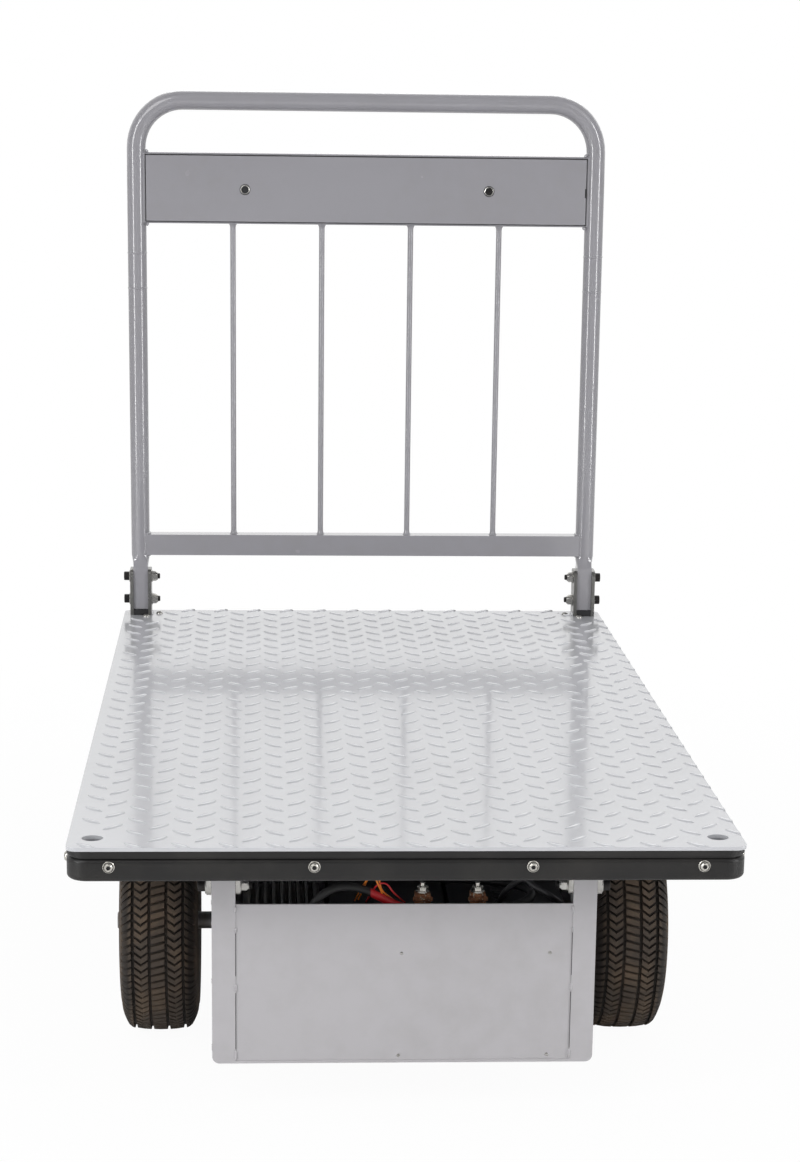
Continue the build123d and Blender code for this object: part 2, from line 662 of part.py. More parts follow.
with BuildPart() as hanger_bolts:
    for side in (-1, 1):
        for leg_y in leg_ys:
            bolt_across(side * leg_x, leg_y, frame_bottom - HANGER_BOLT_DROP, hanger_width, side)
save(hanger_bolts.part, "hanger_bolts")

# Batteries, side by side, each with a stepped lid
box_inside_floor = box_bottom + BOX_FLOOR
battery_top = box_inside_floor + BATTERY_HEIGHT
battery_y = box_mid_y
battery_right_x = plate_run_x / 2 - BATTERY_SIDE_GAP - BATTERY_WIDTH / 2
battery_xs = {"left": battery_right_x - BATTERY_GAP - BATTERY_WIDTH, "right": battery_right_x}
for word, battery_x in battery_xs.items():
    with BuildPart() as battery:
        with BuildSketch(Plane.XY.offset(box_inside_floor)):
            with Locations((battery_x, battery_y)):
                rounded(BATTERY_WIDTH, BATTERY_DEPTH, BATTERY_CORNER_R)
        extrude(amount=BATTERY_HEIGHT - BATTERY_LID_HEIGHT)
        with BuildSketch(Plane.XY.offset(battery_top - BATTERY_LID_HEIGHT)):
            with Locations((battery_x, battery_y)):
                rounded(
                    BATTERY_WIDTH - 2 * BATTERY_LID_INSET,
                    BATTERY_DEPTH - 2 * BATTERY_LID_INSET,
                    BATTERY_CORNER_R - BATTERY_LID_INSET,
                )
        extrude(amount=BATTERY_LID_HEIGHT)
    save(battery.part, f"battery_{word}")

# Battery terminals: a post with a tab and its bolt, at the front and back of each battery
inner_terminal_xs = [
    battery_xs["left"] + BATTERY_WIDTH / 2 - TERMINAL_INSET_X,
    battery_xs["right"] - BATTERY_WIDTH / 2 + TERMINAL_INSET_X,
]
terminal_ys = [battery_y - side * (BATTERY_DEPTH / 2 - TERMINAL_INSET_Y) for side in (1, -1)]
with BuildPart() as battery_terminals:
    for terminal_y in terminal_ys:
        for terminal_x in inner_terminal_xs:
            with BuildSketch(Plane.XY.offset(battery_top)):
                with Locations((terminal_x, terminal_y)):
                    Rectangle(TERMINAL_SIZE, TERMINAL_SIZE)
            extrude(amount=TERMINAL_HEIGHT)
            with BuildSketch(Plane.XZ.offset(-terminal_y + TERMINAL_SIZE / 2)):
                with Locations((terminal_x, battery_top + TERMINAL_HEIGHT / 2)):
                    Circle(TERMINAL_HEAD_R)
            extrude(amount=TERMINAL_HEAD_HEIGHT)
save(battery_terminals.part, "battery_terminals")

# Motor controller with a finned top, standing beside the batteries
controller_space = battery_xs["left"] - BATTERY_WIDTH / 2 + plate_run_x / 2
controller_width = controller_space - 2 * CONTROLLER_GAP
controller_x = (controller_space - plate_run_x) / 2
with BuildPart() as motor_controller:
    with BuildSketch(Plane.XY.offset(box_inside_floor)):
        with Locations((controller_x, battery_y)):
            Rectangle(controller_width, CONTROLLER_DEPTH)
    extrude(amount=CONTROLLER_HEIGHT)
    fin_count = int((controller_width - CONTROLLER_FIN) / CONTROLLER_FIN_PITCH) + 1
    with BuildSketch(Plane.XY.offset(box_inside_floor + CONTROLLER_HEIGHT)):
        with Locations((controller_x, battery_y)):
            with GridLocations(CONTROLLER_FIN_PITCH, 1, fin_count, 1):
                Rectangle(CONTROLLER_FIN, CONTROLLER_DEPTH)
    extrude(amount=CONTROLLER_FIN_HEIGHT)
save(motor_controller.part, "motor_controller")

# Transaxle: a differential case between two axle tubes, with a flange at each end
tube_bore_r = SHAFT_R + SHAFT_FIT
with BuildPart() as transaxle:
    with BuildSketch(Plane.XY.offset(axle_z)):
        with BuildLine():
            case_profile = [
                (0, axle_y),
                (0, axle_y + CASE_R),
                (CASE_FLAT_HALF, axle_y + CASE_R),
                (CASE_HALF_WIDTH, axle_y + CASE_SHOULDER_R),
                (CASE_HALF_WIDTH + CASE_NECK_WIDTH, axle_y + AXLE_TUBE_R),
                (axle_tube_end_x - AXLE_FLANGE_WIDTH, axle_y + AXLE_TUBE_R),
                (axle_tube_end_x - AXLE_FLANGE_WIDTH, axle_y + AXLE_FLANGE_R),
                (axle_tube_end_x, axle_y + AXLE_FLANGE_R),
                (axle_tube_end_x, axle_y),
            ]
            Polyline(*case_profile, close=True)
        make_face()
        mirror(about=Plane.YZ)
    revolve(axis=Axis((0, axle_y, axle_z), (1, 0, 0)))
    with BuildSketch(Plane.XZ.offset(-axle_y)):
        with Locations((0, axle_z)):
            Circle(MOTOR_FLANGE_R)
    extrude(amount=-(CASE_R + MOTOR_NECK))
    with BuildSketch(Plane.YZ.offset(-CASE_HALF_WIDTH)):
        with Locations((axle_y, axle_z)):
            with PolarLocations(CASE_R / 2, CASE_RIB_COUNT, start_angle=CASE_RIB_START):
                Rectangle(CASE_R, CASE_RIB)
    extrude(amount=2 * CASE_HALF_WIDTH)
    for side in (-1, 1):
        with BuildSketch(Plane.YZ.offset(side * axle_tube_end_x)):
            with Locations((axle_y, axle_z)):
                Circle(tube_bore_r)
        extrude(amount=-side * SHAFT_IN_TUBE, mode=Mode.SUBTRACT)
save(transaxle.part, "transaxle")

# Drive motor with its end bell, behind the case, and the parking brake on its end
motor_start_y = axle_y + CASE_R + MOTOR_NECK
motor_end_y = motor_start_y + MOTOR_FLANGE_WIDTH + MOTOR_LENGTH
with BuildPart() as drive_motor:
    with BuildSketch(Plane.XZ.offset(-motor_start_y)):
        with Locations((0, axle_z)):
            Circle(MOTOR_FLANGE_R)
    extrude(amount=-MOTOR_FLANGE_WIDTH)
    with BuildSketch(Plane.XZ.offset(-motor_start_y - MOTOR_FLANGE_WIDTH)):
        with Locations((0, axle_z)):
            Circle(MOTOR_R)
    extrude(amount=-MOTOR_LENGTH)
    fillet(drive_motor.faces().sort_by(Axis.Y)[-1].edges(), MOTOR_END_ROUND)
save(drive_motor.part, "drive_motor")
with BuildPart() as parking_brake:
    with BuildSketch(Plane.XZ.offset(-motor_end_y)):
        with Locations((0, axle_z)):
            Circle(BRAKE_R)
    extrude(amount=-BRAKE_LENGTH)
    fillet(parking_brake.faces().sort_by(Axis.Y)[-1].edges(), BRAKE_COVER)
save(parking_brake.part, "parking_brake")

# Axle brackets: a flange under two cross members, a tapered plate and a ring around the axle tube
bracket_bottom_of_flange = frame_bottom - BRACKET_PLATE
for side, word in ((-1, "left"), (1, "right")):
    bracket_start = side * bracket_x - BRACKET_PLATE / 2
    with BuildPart() as axle_bracket:
        with BuildSketch(Plane.XY.offset(bracket_bottom_of_flange)):
            with Locations((side * bracket_x, axle_y)):
                Rectangle(BRACKET_FLANGE_WIDTH, BRACKET_FLANGE_LENGTH)
        extrude(amount=BRACKET_PLATE)
        with BuildSketch(Plane.YZ.offset(bracket_start)):
            with Locations((axle_y, axle_z)):
                Circle(BRACKET_RING_R)
            with Locations((axle_y, bracket_bottom_of_flange)):
                Rectangle(
                    BRACKET_FLANGE_LENGTH - 2 * BRACKET_TOP_INSET,
                    BRACKET_TOP_BAND,
                    align=(Align.CENTER, Align.MAX),
                )
            make_hull()
        extrude(amount=BRACKET_PLATE)
        with BuildSketch(Plane.XZ.offset(-axle_y - BRACKET_GUSSET / 2)):
            with BuildLine():
                gusset_low = axle_z + BRACKET_RING_R
                gusset_half = BRACKET_FLANGE_WIDTH / 2
                Polyline(
                    (side * bracket_x - gusset_half, bracket_bottom_of_flange),
                    (side * bracket_x + gusset_half, bracket_bottom_of_flange),
                    (side * bracket_x + BRACKET_PLATE, gusset_low),
                    (side * bracket_x - BRACKET_PLATE, gusset_low),
                    close=True,
                )
            make_face()
        extrude(amount=BRACKET_GUSSET)
        with BuildSketch(Plane.YZ.offset(bracket_start - BRACKET_PLATE)):
            with Locations((axle_y, axle_z)):
                Circle(AXLE_TUBE_R + BRACKET_FIT)
        extrude(amount=3 * BRACKET_PLATE, mode=Mode.SUBTRACT)
    save(axle_bracket.part, f"axle_bracket_{word}")


# Drive wheels: shaft with nut, pressed rim with its hub, and tyre
tyre_mid_x = tyre_outer_x - TYRE_WIDTH / 2
half_tyre = TYRE_WIDTH / 2
half_rim = RIM_WIDTH / 2
for side, word in ((-1, "left"), (1, "right")):
    wheel_axis = Axis((0, axle_y, axle_z), (1, 0, 0))
    wheel_plane = Plane((side * tyre_mid_x, axle_y, axle_z), x_dir=(side, 0, 0), z_dir=(0, 0, side))
    with BuildPart() as drive_shaft:
        shaft_start_x = axle_tube_end_x - SHAFT_IN_TUBE + SHAFT_END_GAP
        shaft_end_x = tyre_mid_x + HUB_LENGTH / 2 + HUB_NUT_HEIGHT + HUB_CAP
        with BuildSketch(Plane.YZ.offset(side * shaft_start_x)):
            with Locations((axle_y, axle_z)):
                Circle(SHAFT_R)
        extrude(amount=side * (shaft_end_x - shaft_start_x))
        chamfer(drive_shaft.faces().sort_by(Axis.X)[-1 if side > 0 else 0].edges(), SHAFT_CHAMFER)
        with BuildSketch(Plane.YZ.offset(side * (tyre_mid_x + HUB_LENGTH / 2))):
            with Locations((axle_y, axle_z)):
                RegularPolygon(HUB_NUT_FLATS / sqrt(3), 6)
        extrude(amount=side * HUB_NUT_HEIGHT)
    save(drive_shaft.part, f"drive_shaft_{word}")
    with BuildPart() as drive_rim:
        with BuildSketch(wheel_plane):
            Polygon(
                (-half_rim, RIM_EDGE_R),
                (-half_rim + RIM_SHEET, RIM_EDGE_R),
                (-half_rim + RIM_SHEET, RIM_SEAT_R),
                (half_rim - RIM_SHEET, RIM_SEAT_R),
                (half_rim - RIM_SHEET, RIM_EDGE_R),
                (half_rim, RIM_EDGE_R),
                (half_rim, RIM_SEAT_R - RIM_SHEET),
                (RIM_DISC_X + RIM_SHEET, RIM_SEAT_R - RIM_SHEET),
                (RIM_DISC_X + RIM_SHEET, HUB_R),
                (HUB_LENGTH / 2, HUB_R),
                (HUB_LENGTH / 2, SHAFT_R),
                (-HUB_LENGTH / 2, SHAFT_R),
                (-HUB_LENGTH / 2, HUB_R),
                (RIM_DISC_X - RIM_SHEET, HUB_R),
                (RIM_DISC_X - RIM_SHEET, RIM_SEAT_R - RIM_SHEET),
                (-half_rim, RIM_SEAT_R - RIM_SHEET),
                align=None,
            )
        revolve(axis=wheel_axis)
        with BuildSketch(Plane.YZ.offset(side * (tyre_mid_x + RIM_DISC_X) - 2 * RIM_SHEET)):
            with Locations((axle_y, axle_z)):
                with PolarLocations(RIM_BOLT_CIRCLE_R, RIM_BOLT_COUNT):
                    Circle(RIM_BOLT_HOLE_R)
        extrude(amount=4 * RIM_SHEET, mode=Mode.SUBTRACT)
    save(drive_rim.part, f"drive_rim_{word}")
    bead_r = RIM_SEAT_R + TYRE_BEAD_GAP
    bead_half = half_rim - RIM_SHEET - TYRE_BEAD_GAP
    with BuildPart() as drive_tyre:
        with BuildSketch(wheel_plane):
            with BuildLine():
                outer_bead = (bead_half, bead_r)
                outer_lip = (bead_half, RIM_EDGE_R + TYRE_LIP)
                outer_mid = (half_tyre, TYRE_MID_R)
                outer_shoulder = (half_tyre - TYRE_SHOULDER_INSET, TYRE_SHOULDER_R)
                Line(outer_bead, outer_lip)
                lower_bulge = (half_tyre - TYRE_LOWER_BULGE[0], TYRE_MID_R - TYRE_LOWER_BULGE[1])
                ThreePointArc(outer_lip, lower_bulge, outer_mid)
                upper_bulge = (half_tyre - TYRE_UPPER_BULGE[0], TYRE_SHOULDER_R - TYRE_UPPER_BULGE[1])
                ThreePointArc(outer_mid, upper_bulge, outer_shoulder)
                crown_right = (half_tyre - 2 * TYRE_SHOULDER_INSET, TYRE_R - TYRE_CROWN_DROP)
                shoulder_mid = (half_tyre - TYRE_SHOULDER_MID[0], TYRE_R - TYRE_SHOULDER_MID[1])
                ThreePointArc(outer_shoulder, shoulder_mid, crown_right)
                TangentArc((0, TYRE_R), crown_right, tangent=(1, 0))
                Line((0, TYRE_R), (0, TYRE_R - TYRE_TREAD))
                inner_shoulder_x = half_tyre - TYRE_SIDEWALL - TYRE_SHOULDER_INSET
                inner_shoulder = (inner_shoulder_x, TYRE_SHOULDER_R - TYRE_INNER_DROP)
                inner_mid = (half_tyre - TYRE_SIDEWALL, TYRE_MID_R)
                inner_bead = (bead_half - TYRE_SIDEWALL, bead_r)
                Line((0, TYRE_R - TYRE_TREAD), inner_shoulder)
                inner_bulge = (inner_mid[0] - TYRE_INNER_BULGE, (inner_shoulder[1] + TYRE_MID_R) / 2)
                ThreePointArc(inner_shoulder, inner_bulge, inner_mid)
                Line(inner_mid, inner_bead)
                Line(inner_bead, outer_bead)
            make_face()
            mirror(about=Plane.YZ)
        revolve(axis=wheel_axis)
    save(drive_tyre.part, f"drive_tyre_{word}")

# Swivel casters: mount with kingpin, fork, wheel with tread, and axle bolt
caster_plate_bottom = caster_beam_bottom - CASTER_PLATE_THICKNESS
upper_race_bottom = caster_plate_bottom - CASTER_UPPER_RACE
lower_race_top = upper_race_bottom - CASTER_RACE_GAP
crown_top = lower_race_top - CASTER_LOWER_RACE
crown_bottom = crown_top - CASTER_CROWN
kingpin_head_top = crown_bottom - CASTER_RACE_GAP
wheel_y = caster_swivel_y - CASTER_TRAIL
wheel_z = CASTER_WHEEL_R
fork_half = FORK_GAP / 2 + FORK_LEG
for side, word in ((-1, "left"), (1, "right")):
    caster_x = side * caster_swivel_x
    with BuildPart() as caster_mount:
        with BuildSketch(Plane.XY.offset(caster_plate_bottom)):
            with Locations((caster_x, caster_swivel_y)):
                RectangleRounded(CASTER_PLATE_WIDTH, CASTER_PLATE_LENGTH, CASTER_PLATE_R)
        extrude(amount=CASTER_PLATE_THICKNESS)
        with BuildSketch(Plane.XY.offset(upper_race_bottom)):
            with Locations((caster_x, caster_swivel_y)):
                Circle(CASTER_RACE_R)
        extrude(amount=CASTER_UPPER_RACE)
        chamfer(caster_mount.faces().sort_by(Axis.Z)[0].edges(), CASTER_RACE_CHAMFER)
        with BuildSketch(Plane.XY.offset(kingpin_head_top)):
            with Locations((caster_x, caster_swivel_y)):
                Circle(KINGPIN_R)
        extrude(amount=upper_race_bottom - kingpin_head_top)
        with BuildSketch(Plane.XY.offset(kingpin_head_top)):
            with Locations((caster_x, caster_swivel_y)):
                RegularPolygon(KINGPIN_HEAD_R, 6)
        extrude(amount=-KINGPIN_HEAD)
    save(caster_mount.part, f"caster_mount_{word}")
    with BuildPart() as caster_fork:
        with BuildSketch(Plane.XY.offset(crown_bottom)):
            with Locations((caster_x, caster_swivel_y)):
                Circle(CASTER_CROWN_R)
            with Locations((caster_x, caster_swivel_y)):
                Rectangle(2 * fork_half, CASTER_CROWN_DEPTH)
        extrude(amount=CASTER_CROWN)
        with BuildSketch(Plane.XY.offset(crown_top)):
            with Locations((caster_x, caster_swivel_y)):
                Circle(CASTER_RACE_R + CASTER_LOWER_RACE_STEP)
        extrude(amount=CASTER_LOWER_RACE, taper=CASTER_LOWER_RACE_TAPER)
        with BuildSketch(Plane.YZ.offset(caster_x - fork_half)):
            with Locations((caster_swivel_y, crown_top)):
                Rectangle(CASTER_CROWN_DEPTH, CASTER_CROWN, align=(Align.CENTER, Align.MAX))
            with Locations((wheel_y, wheel_z)):
                Circle(FORK_BOSS_R)
            make_hull()
        extrude(amount=2 * fork_half)
        with BuildSketch(Plane.YZ.offset(caster_x - FORK_GAP / 2)):
            with Locations((caster_swivel_y, crown_bottom)):
                Rectangle(4 * CASTER_WHEEL_R, 2 * CASTER_WHEEL_R, align=(Align.CENTER, Align.MAX))
        extrude(amount=FORK_GAP, mode=Mode.SUBTRACT)
        with BuildSketch(Plane.XY.offset(crown_bottom)):
            with Locations((caster_x, caster_swivel_y)):
                Circle(KINGPIN_R + CASTER_AXLE_FIT)
        extrude(amount=CASTER_CROWN + CASTER_LOWER_RACE, mode=Mode.SUBTRACT)
        with BuildSketch(Plane.YZ.offset(caster_x - fork_half)):
            with Locations((wheel_y, wheel_z)):
                Circle(CASTER_AXLE_R + CASTER_AXLE_FIT)
        extrude(amount=2 * fork_half, mode=Mode.SUBTRACT)
    save(caster_fork.part, f"caster_fork_{word}")
    with BuildPart() as caster_axle:
        with BuildSketch(Plane.YZ.offset(caster_x - fork_half - CASTER_AXLE_NUT)):
            with Locations((wheel_y, wheel_z)):
                RegularPolygon(CASTER_AXLE_NUT_FLATS / sqrt(3), 6)
        extrude(amount=CASTER_AXLE_NUT)
        with BuildSketch(Plane.YZ.offset(caster_x - fork_half)):
            with Locations((wheel_y, wheel_z)):
                Circle(CASTER_AXLE_R)
        extrude(amount=2 * fork_half)
        with BuildSketch(Plane.YZ.offset(caster_x + fork_half)):
            with Locations((wheel_y, wheel_z)):
                RegularPolygon(CASTER_AXLE_NUT_FLATS / sqrt(3), 6)
        extrude(amount=CASTER_AXLE_NUT)
    save(caster_axle.part, f"caster_axle_{word}")
    caster_axis = Axis((0, wheel_y, wheel_z), (1, 0, 0))
    caster_plane = Plane((caster_x, wheel_y, wheel_z), x_dir=(1, 0, 0), z_dir=(0, 0, 1))
    tread_inner_r = CASTER_WHEEL_R - CASTER_TREAD
    half_wheel = CASTER_WHEEL_WIDTH / 2
    half_hub = CASTER_HUB_WIDTH / 2
    with BuildPart() as caster_wheel:
        with BuildSketch(caster_plane):
            Polygon(
                (-half_wheel, tread_inner_r),
                (half_wheel, tread_inner_r),
                (half_wheel, tread_inner_r - CASTER_RIM_WALL),
                (CASTER_WEB / 2, tread_inner_r - CASTER_RIM_WALL),
                (CASTER_WEB / 2, CASTER_HUB_R),
                (half_hub, CASTER_HUB_R),
                (half_hub, CASTER_AXLE_R + CASTER_AXLE_FIT),
                (-half_hub, CASTER_AXLE_R + CASTER_AXLE_FIT),
                (-half_hub, CASTER_HUB_R),
                (-CASTER_WEB / 2, CASTER_HUB_R),
                (-CASTER_WEB / 2, tread_inner_r - CASTER_RIM_WALL),
                (-half_wheel, tread_inner_r - CASTER_RIM_WALL),
                align=None,
            )
        revolve(axis=caster_axis)
        spoke_length = tread_inner_r - CASTER_RIM_WALL - CASTER_HUB_R + 2 * CASTER_SPOKE_ROOT
        spoke_mid_r = CASTER_HUB_R - CASTER_SPOKE_ROOT + spoke_length / 2
        with BuildSketch(Plane.YZ.offset(caster_x - half_wheel + CASTER_SPOKE_SETBACK)):
            with Locations((wheel_y, wheel_z)):
                with PolarLocations(spoke_mid_r, CASTER_SPOKE_COUNT):
                    Rectangle(spoke_length, CASTER_SPOKE)
        extrude(amount=CASTER_WHEEL_WIDTH - 2 * CASTER_SPOKE_SETBACK)
    save(caster_wheel.part, f"caster_wheel_{word}")
    with BuildPart() as caster_tread:
        with BuildSketch(caster_plane):
            with BuildLine():
                tread_side_r = CASTER_WHEEL_R - CASTER_TREAD_SIDE_DROP
                left_shoulder = (CASTER_TREAD_BEVEL - half_wheel, CASTER_WHEEL_R - CASTER_TREAD_SHOULDER_DROP)
                right_shoulder = (-left_shoulder[0], left_shoulder[1])
                Polyline(
                    left_shoulder,
                    (-half_wheel, tread_side_r),
                    (-half_wheel, tread_inner_r),
                    (half_wheel, tread_inner_r),
                    (half_wheel, tread_side_r),
                    right_shoulder,
                )
                ThreePointArc(right_shoulder, (0, CASTER_WHEEL_R), left_shoulder)
            make_face()
        revolve(axis=caster_axis)
    save(caster_tread.part, f"caster_tread_{word}")

# Battery leads between the terminals and the controller
for word, poles in LEAD_POLES.items():
    with BuildPart() as battery_lead:
        with BuildLine() as lead_path:
            Bezier(*[(x, box_front + y, z) for x, y, z in poles])
        with BuildSketch(Plane(origin=lead_path.line @ 0, z_dir=lead_path.line % 0)):
            Circle(LEAD_R)
        sweep()
    save(battery_lead.part, f"battery_lead_{word}")
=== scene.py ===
"""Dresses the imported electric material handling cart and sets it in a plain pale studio."""

import logging
import math
from collections.abc import Callable, Iterable, Sequence
from dataclasses import dataclass
from enum import Enum

import bpy
from mathutils import Matrix, Vector


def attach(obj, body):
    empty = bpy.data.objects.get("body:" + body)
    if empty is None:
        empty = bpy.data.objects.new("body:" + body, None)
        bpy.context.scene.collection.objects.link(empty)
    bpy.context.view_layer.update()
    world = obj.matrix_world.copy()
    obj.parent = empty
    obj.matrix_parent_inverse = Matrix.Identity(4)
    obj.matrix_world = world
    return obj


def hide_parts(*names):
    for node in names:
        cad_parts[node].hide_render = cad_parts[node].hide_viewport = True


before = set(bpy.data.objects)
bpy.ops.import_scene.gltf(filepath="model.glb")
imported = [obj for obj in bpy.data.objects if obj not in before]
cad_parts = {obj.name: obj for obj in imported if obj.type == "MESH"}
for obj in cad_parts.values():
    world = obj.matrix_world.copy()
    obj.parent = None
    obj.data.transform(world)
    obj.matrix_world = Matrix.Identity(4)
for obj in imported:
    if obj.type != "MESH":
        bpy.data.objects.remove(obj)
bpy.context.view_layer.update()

log = logging.getLogger("cart")
MM = 0.001
CHASSIS = "chassis"

Rgb = tuple[float, float, float]
Pair = tuple[float, float]
Triple = tuple[float, float, float]
Point = tuple[float, float, float]

WHITE: Rgb = (1.0, 1.0, 1.0)
UP: Point = (0, 0, 1)
DOWN: Point = (0, 0, -1)
NEAR: Point = (0, -1, 0)
FAR: Point = (0, 1, 0)
SIDES = (-1, 1)

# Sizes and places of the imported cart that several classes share, in millimetres
DECK_TOP = 315.0
DECK_HALF_WIDTH = 355.5
DECK_HALF_LENGTH = 656.0
POST_X = 330.5
POST_Y = 632.0
AXLE_Y = -306.0
AXLE_Z = 128.0
TYRE_R = 128.0


def srgb(red: int, green: int, blue: int) -> Rgb:
    """Turn a screen colour of 0 to 255 into the linear colour that shaders use.

    Args:
        red: Red part.
        green: Green part.
        blue: Blue part.

    Returns:
        The linear colour.
    """

    def linear(part: int) -> float:
        """Return the linear value of one part."""
        share = part / 255
        return share / 12.92 if share <= 0.04045 else ((share + 0.055) / 1.055) ** 2.4

    return linear(red), linear(green), linear(blue)


# Shader maths


class Wire:
    """A node's output, with operators that add the nodes for shader maths."""

    def __init__(self, graph: "Graph", socket: bpy.types.NodeSocket) -> None:
        """Keep the graph and the output socket."""
        self.graph = graph
        self.socket = socket

    @property
    def wide(self) -> bool:
        """Whether this is a colour or vector rather than one number."""
        return self.socket.type != "VALUE"

    def __add__(self, other: "Wire | float") -> "Wire":
        """Return self + other."""
        return self.graph.maths("ADD", self, other)

    def __radd__(self, other: "Wire | float") -> "Wire":
        """Return other + self."""
        return self.graph.maths("ADD", other, self)

    def __sub__(self, other: "Wire | float") -> "Wire":
        """Return self - other."""
        return self.graph.maths("SUBTRACT", self, other)

    def __rsub__(self, other: "Wire | float") -> "Wire":
        """Return other - self."""
        return self.graph.maths("SUBTRACT", other, self)

    def __mul__(self, other: "Wire | float") -> "Wire":
        """Return self * other."""
        return self.graph.maths("MULTIPLY", self, other)

    def __rmul__(self, other: "Wire | float") -> "Wire":
        """Return other * self."""
        return self.graph.maths("MULTIPLY", other, self)

    def __pow__(self, other: float) -> "Wire":
        """Return self to the power of other."""
        return self.graph.maths("POWER", self, other)

    def between(self, low: float, high: float) -> "Wire":
        """Return 0 at low, 1 at high and a clamped slope in between.

        Args:
            low: The value that gives 0.
            high: The value that gives 1.

        Returns:
            The clamped share.
        """
        values = {"Value": self, "From Min": low, "From Max": high}
        return self.graph.node("ShaderNodeMapRange", {"clamp": True}, values)


class Graph:
    """The node tree of a material or of the world."""

    def __init__(self, owner: bpy.types.Material | bpy.types.World) -> None:
        """Keep the owner and empty its tree.

        Args:
            owner: The material or world.
        """
        self.owner = owner
        owner.use_nodes = True
        self.tree = owner.node_tree
        self.tree.nodes.clear()

    @classmethod
    def named(cls, name: str) -> "Graph":
        """Start a new material with that name."""
        return cls(bpy.data.materials.new(name))

    def feed(self, socket: bpy.types.NodeSocket, value: "Wire | float | Sequence[float]") -> None:
        """Link or set one input.

        Args:
            socket: The input to feed.
            value: A wire to link, or a number or colour to set.
        """
        if isinstance(value, Wire):
            self.tree.links.new(value.socket, socket)
        elif isinstance(value, (int, float)) and socket.type == "VECTOR":
            socket.default_value = (value, value, value)
        elif isinstance(value, tuple) and socket.type == "RGBA":
            socket.default_value = (*value, 1.0)
        else:
            socket.default_value = value

    def node(
        self,
        kind: str,
        settings: dict[str, object] | None = None,
        inputs: dict[str | int, object] | None = None,
        out: str | int = 0,
    ) -> Wire:
        """Add a node of any kind.

        Args:
            kind: Blender's name of the node type.
            settings: The node's own settings, which are set first.
            inputs: Values or wires by input name or place.
            out: The output to return.

        Returns:
            The chosen output.
        """
        made = self.tree.nodes.new(kind)
        for key, value in (settings or {}).items():
            setattr(made, key, value)
        for place, value in (inputs or {}).items():
            self.feed(made.inputs[place], value)
        return Wire(self, made.outputs[out])

    def maths(self, operation: str, first: Wire | float, second: Wire | float) -> Wire:
        """Add a Math node for numbers, or a Vector Math node where either side is wide.

        Args:
            operation: The node's operation.
            first: The first value.
            second: The second value.

        Returns:
            The result.
        """
        wide = any(isinstance(side, Wire) and side.wide for side in (first, second))
        kind = "ShaderNodeVectorMath" if wide else "ShaderNodeMath"
        return self.node(kind, {"operation": operation}, {0: first, 1: second})

    def blend(self, under: Wire | Rgb, over: Wire | Rgb, share: Wire | float) -> Wire:
        """Mix two colours.

        Args:
            under: The colour where the share is 0.
            over: The colour where the share is 1.
            share: How much of the second colour shows.

        Returns:
            The mixed colour.
        """
        return self.node("ShaderNodeMix", {"data_type": "RGBA"}, {0: share, 6: under, 7: over}, out=2)

    def place(self) -> Wire:
        """Return the point's own place on the cart, in metres."""
        return self.node("ShaderNodeTexCoord", out="Object")

    def stretched(self, scale: Point) -> Wire:
        """Return the place, scaled along each axis."""
        return self.node("ShaderNodeMapping", {}, {"Vector": self.place(), "Scale": scale})

    def noise(self, scale: float, detail: float = 3.0, rough: float = 0.55, at: Wire | None = None) -> Wire:
        """Return fractal noise with that many lumps to the metre.

        Args:
            scale: Lumps to the metre.
            detail: Octaves.
            rough: Weight of the finer octaves.
            at: The place to read, or None for the point's own.

        Returns:
            The noise, about 0 to 1.
        """
        values = {"Vector": at or self.place(), "Scale": scale, "Detail": detail, "Roughness": rough}
        return self.node("ShaderNodeTexNoise", {"noise_dimensions": "3D"}, values)

    def axis(self, letter: str) -> Wire:
        """Return one coordinate of the place."""
        return self.node("ShaderNodeSeparateXYZ", {}, {0: self.place()}, out=letter)

    def surface(
        self,
        colour: Wire | Rgb,
        roughness: Wire | float,
        relief: Wire | None = None,
        relief_depth: float = 0.0005,
        metallic: Wire | float = 0.0,
        coat: Wire | float = 0.0,
        coat_roughness: float = 0.1,
        specular: float = 0.5,
    ) -> bpy.types.Material:
        """Finish the material with a Principled shader.

        Args:
            colour: Base colour.
            roughness: Roughness.
            relief: Height that bumps the surface.
            relief_depth: What a height of 1 stands for, in metres.
            metallic: Share of bare metal.
            coat: Weight of the clear gloss on top.
            coat_roughness: Roughness of that gloss.
            specular: Strength of the plain reflection.

        Returns:
            The material.
        """
        inputs: dict[str | int, object] = {
            "Base Color": colour,
            "Roughness": roughness,
            "Metallic": metallic,
            "Coat Weight": coat,
            "Coat Roughness": coat_roughness,
            "Specular IOR Level": specular,
        }
        if relief is not None:
            bump = {"Height": relief, "Strength": 1.0, "Distance": relief_depth}
            inputs["Normal"] = self.node("ShaderNodeBump", {}, bump)
        shader = self.node("ShaderNodeBsdfPrincipled", {}, inputs)
        self.close(shader)
        return self.owner

    def close(self, shader: Wire, kind: str = "ShaderNodeOutputMaterial") -> None:
        """Link a shader to an output node of that kind."""
        output = self.tree.nodes.new(kind)
        self.tree.links.new(shader.socket, output.inputs["Surface"])


# Finishes


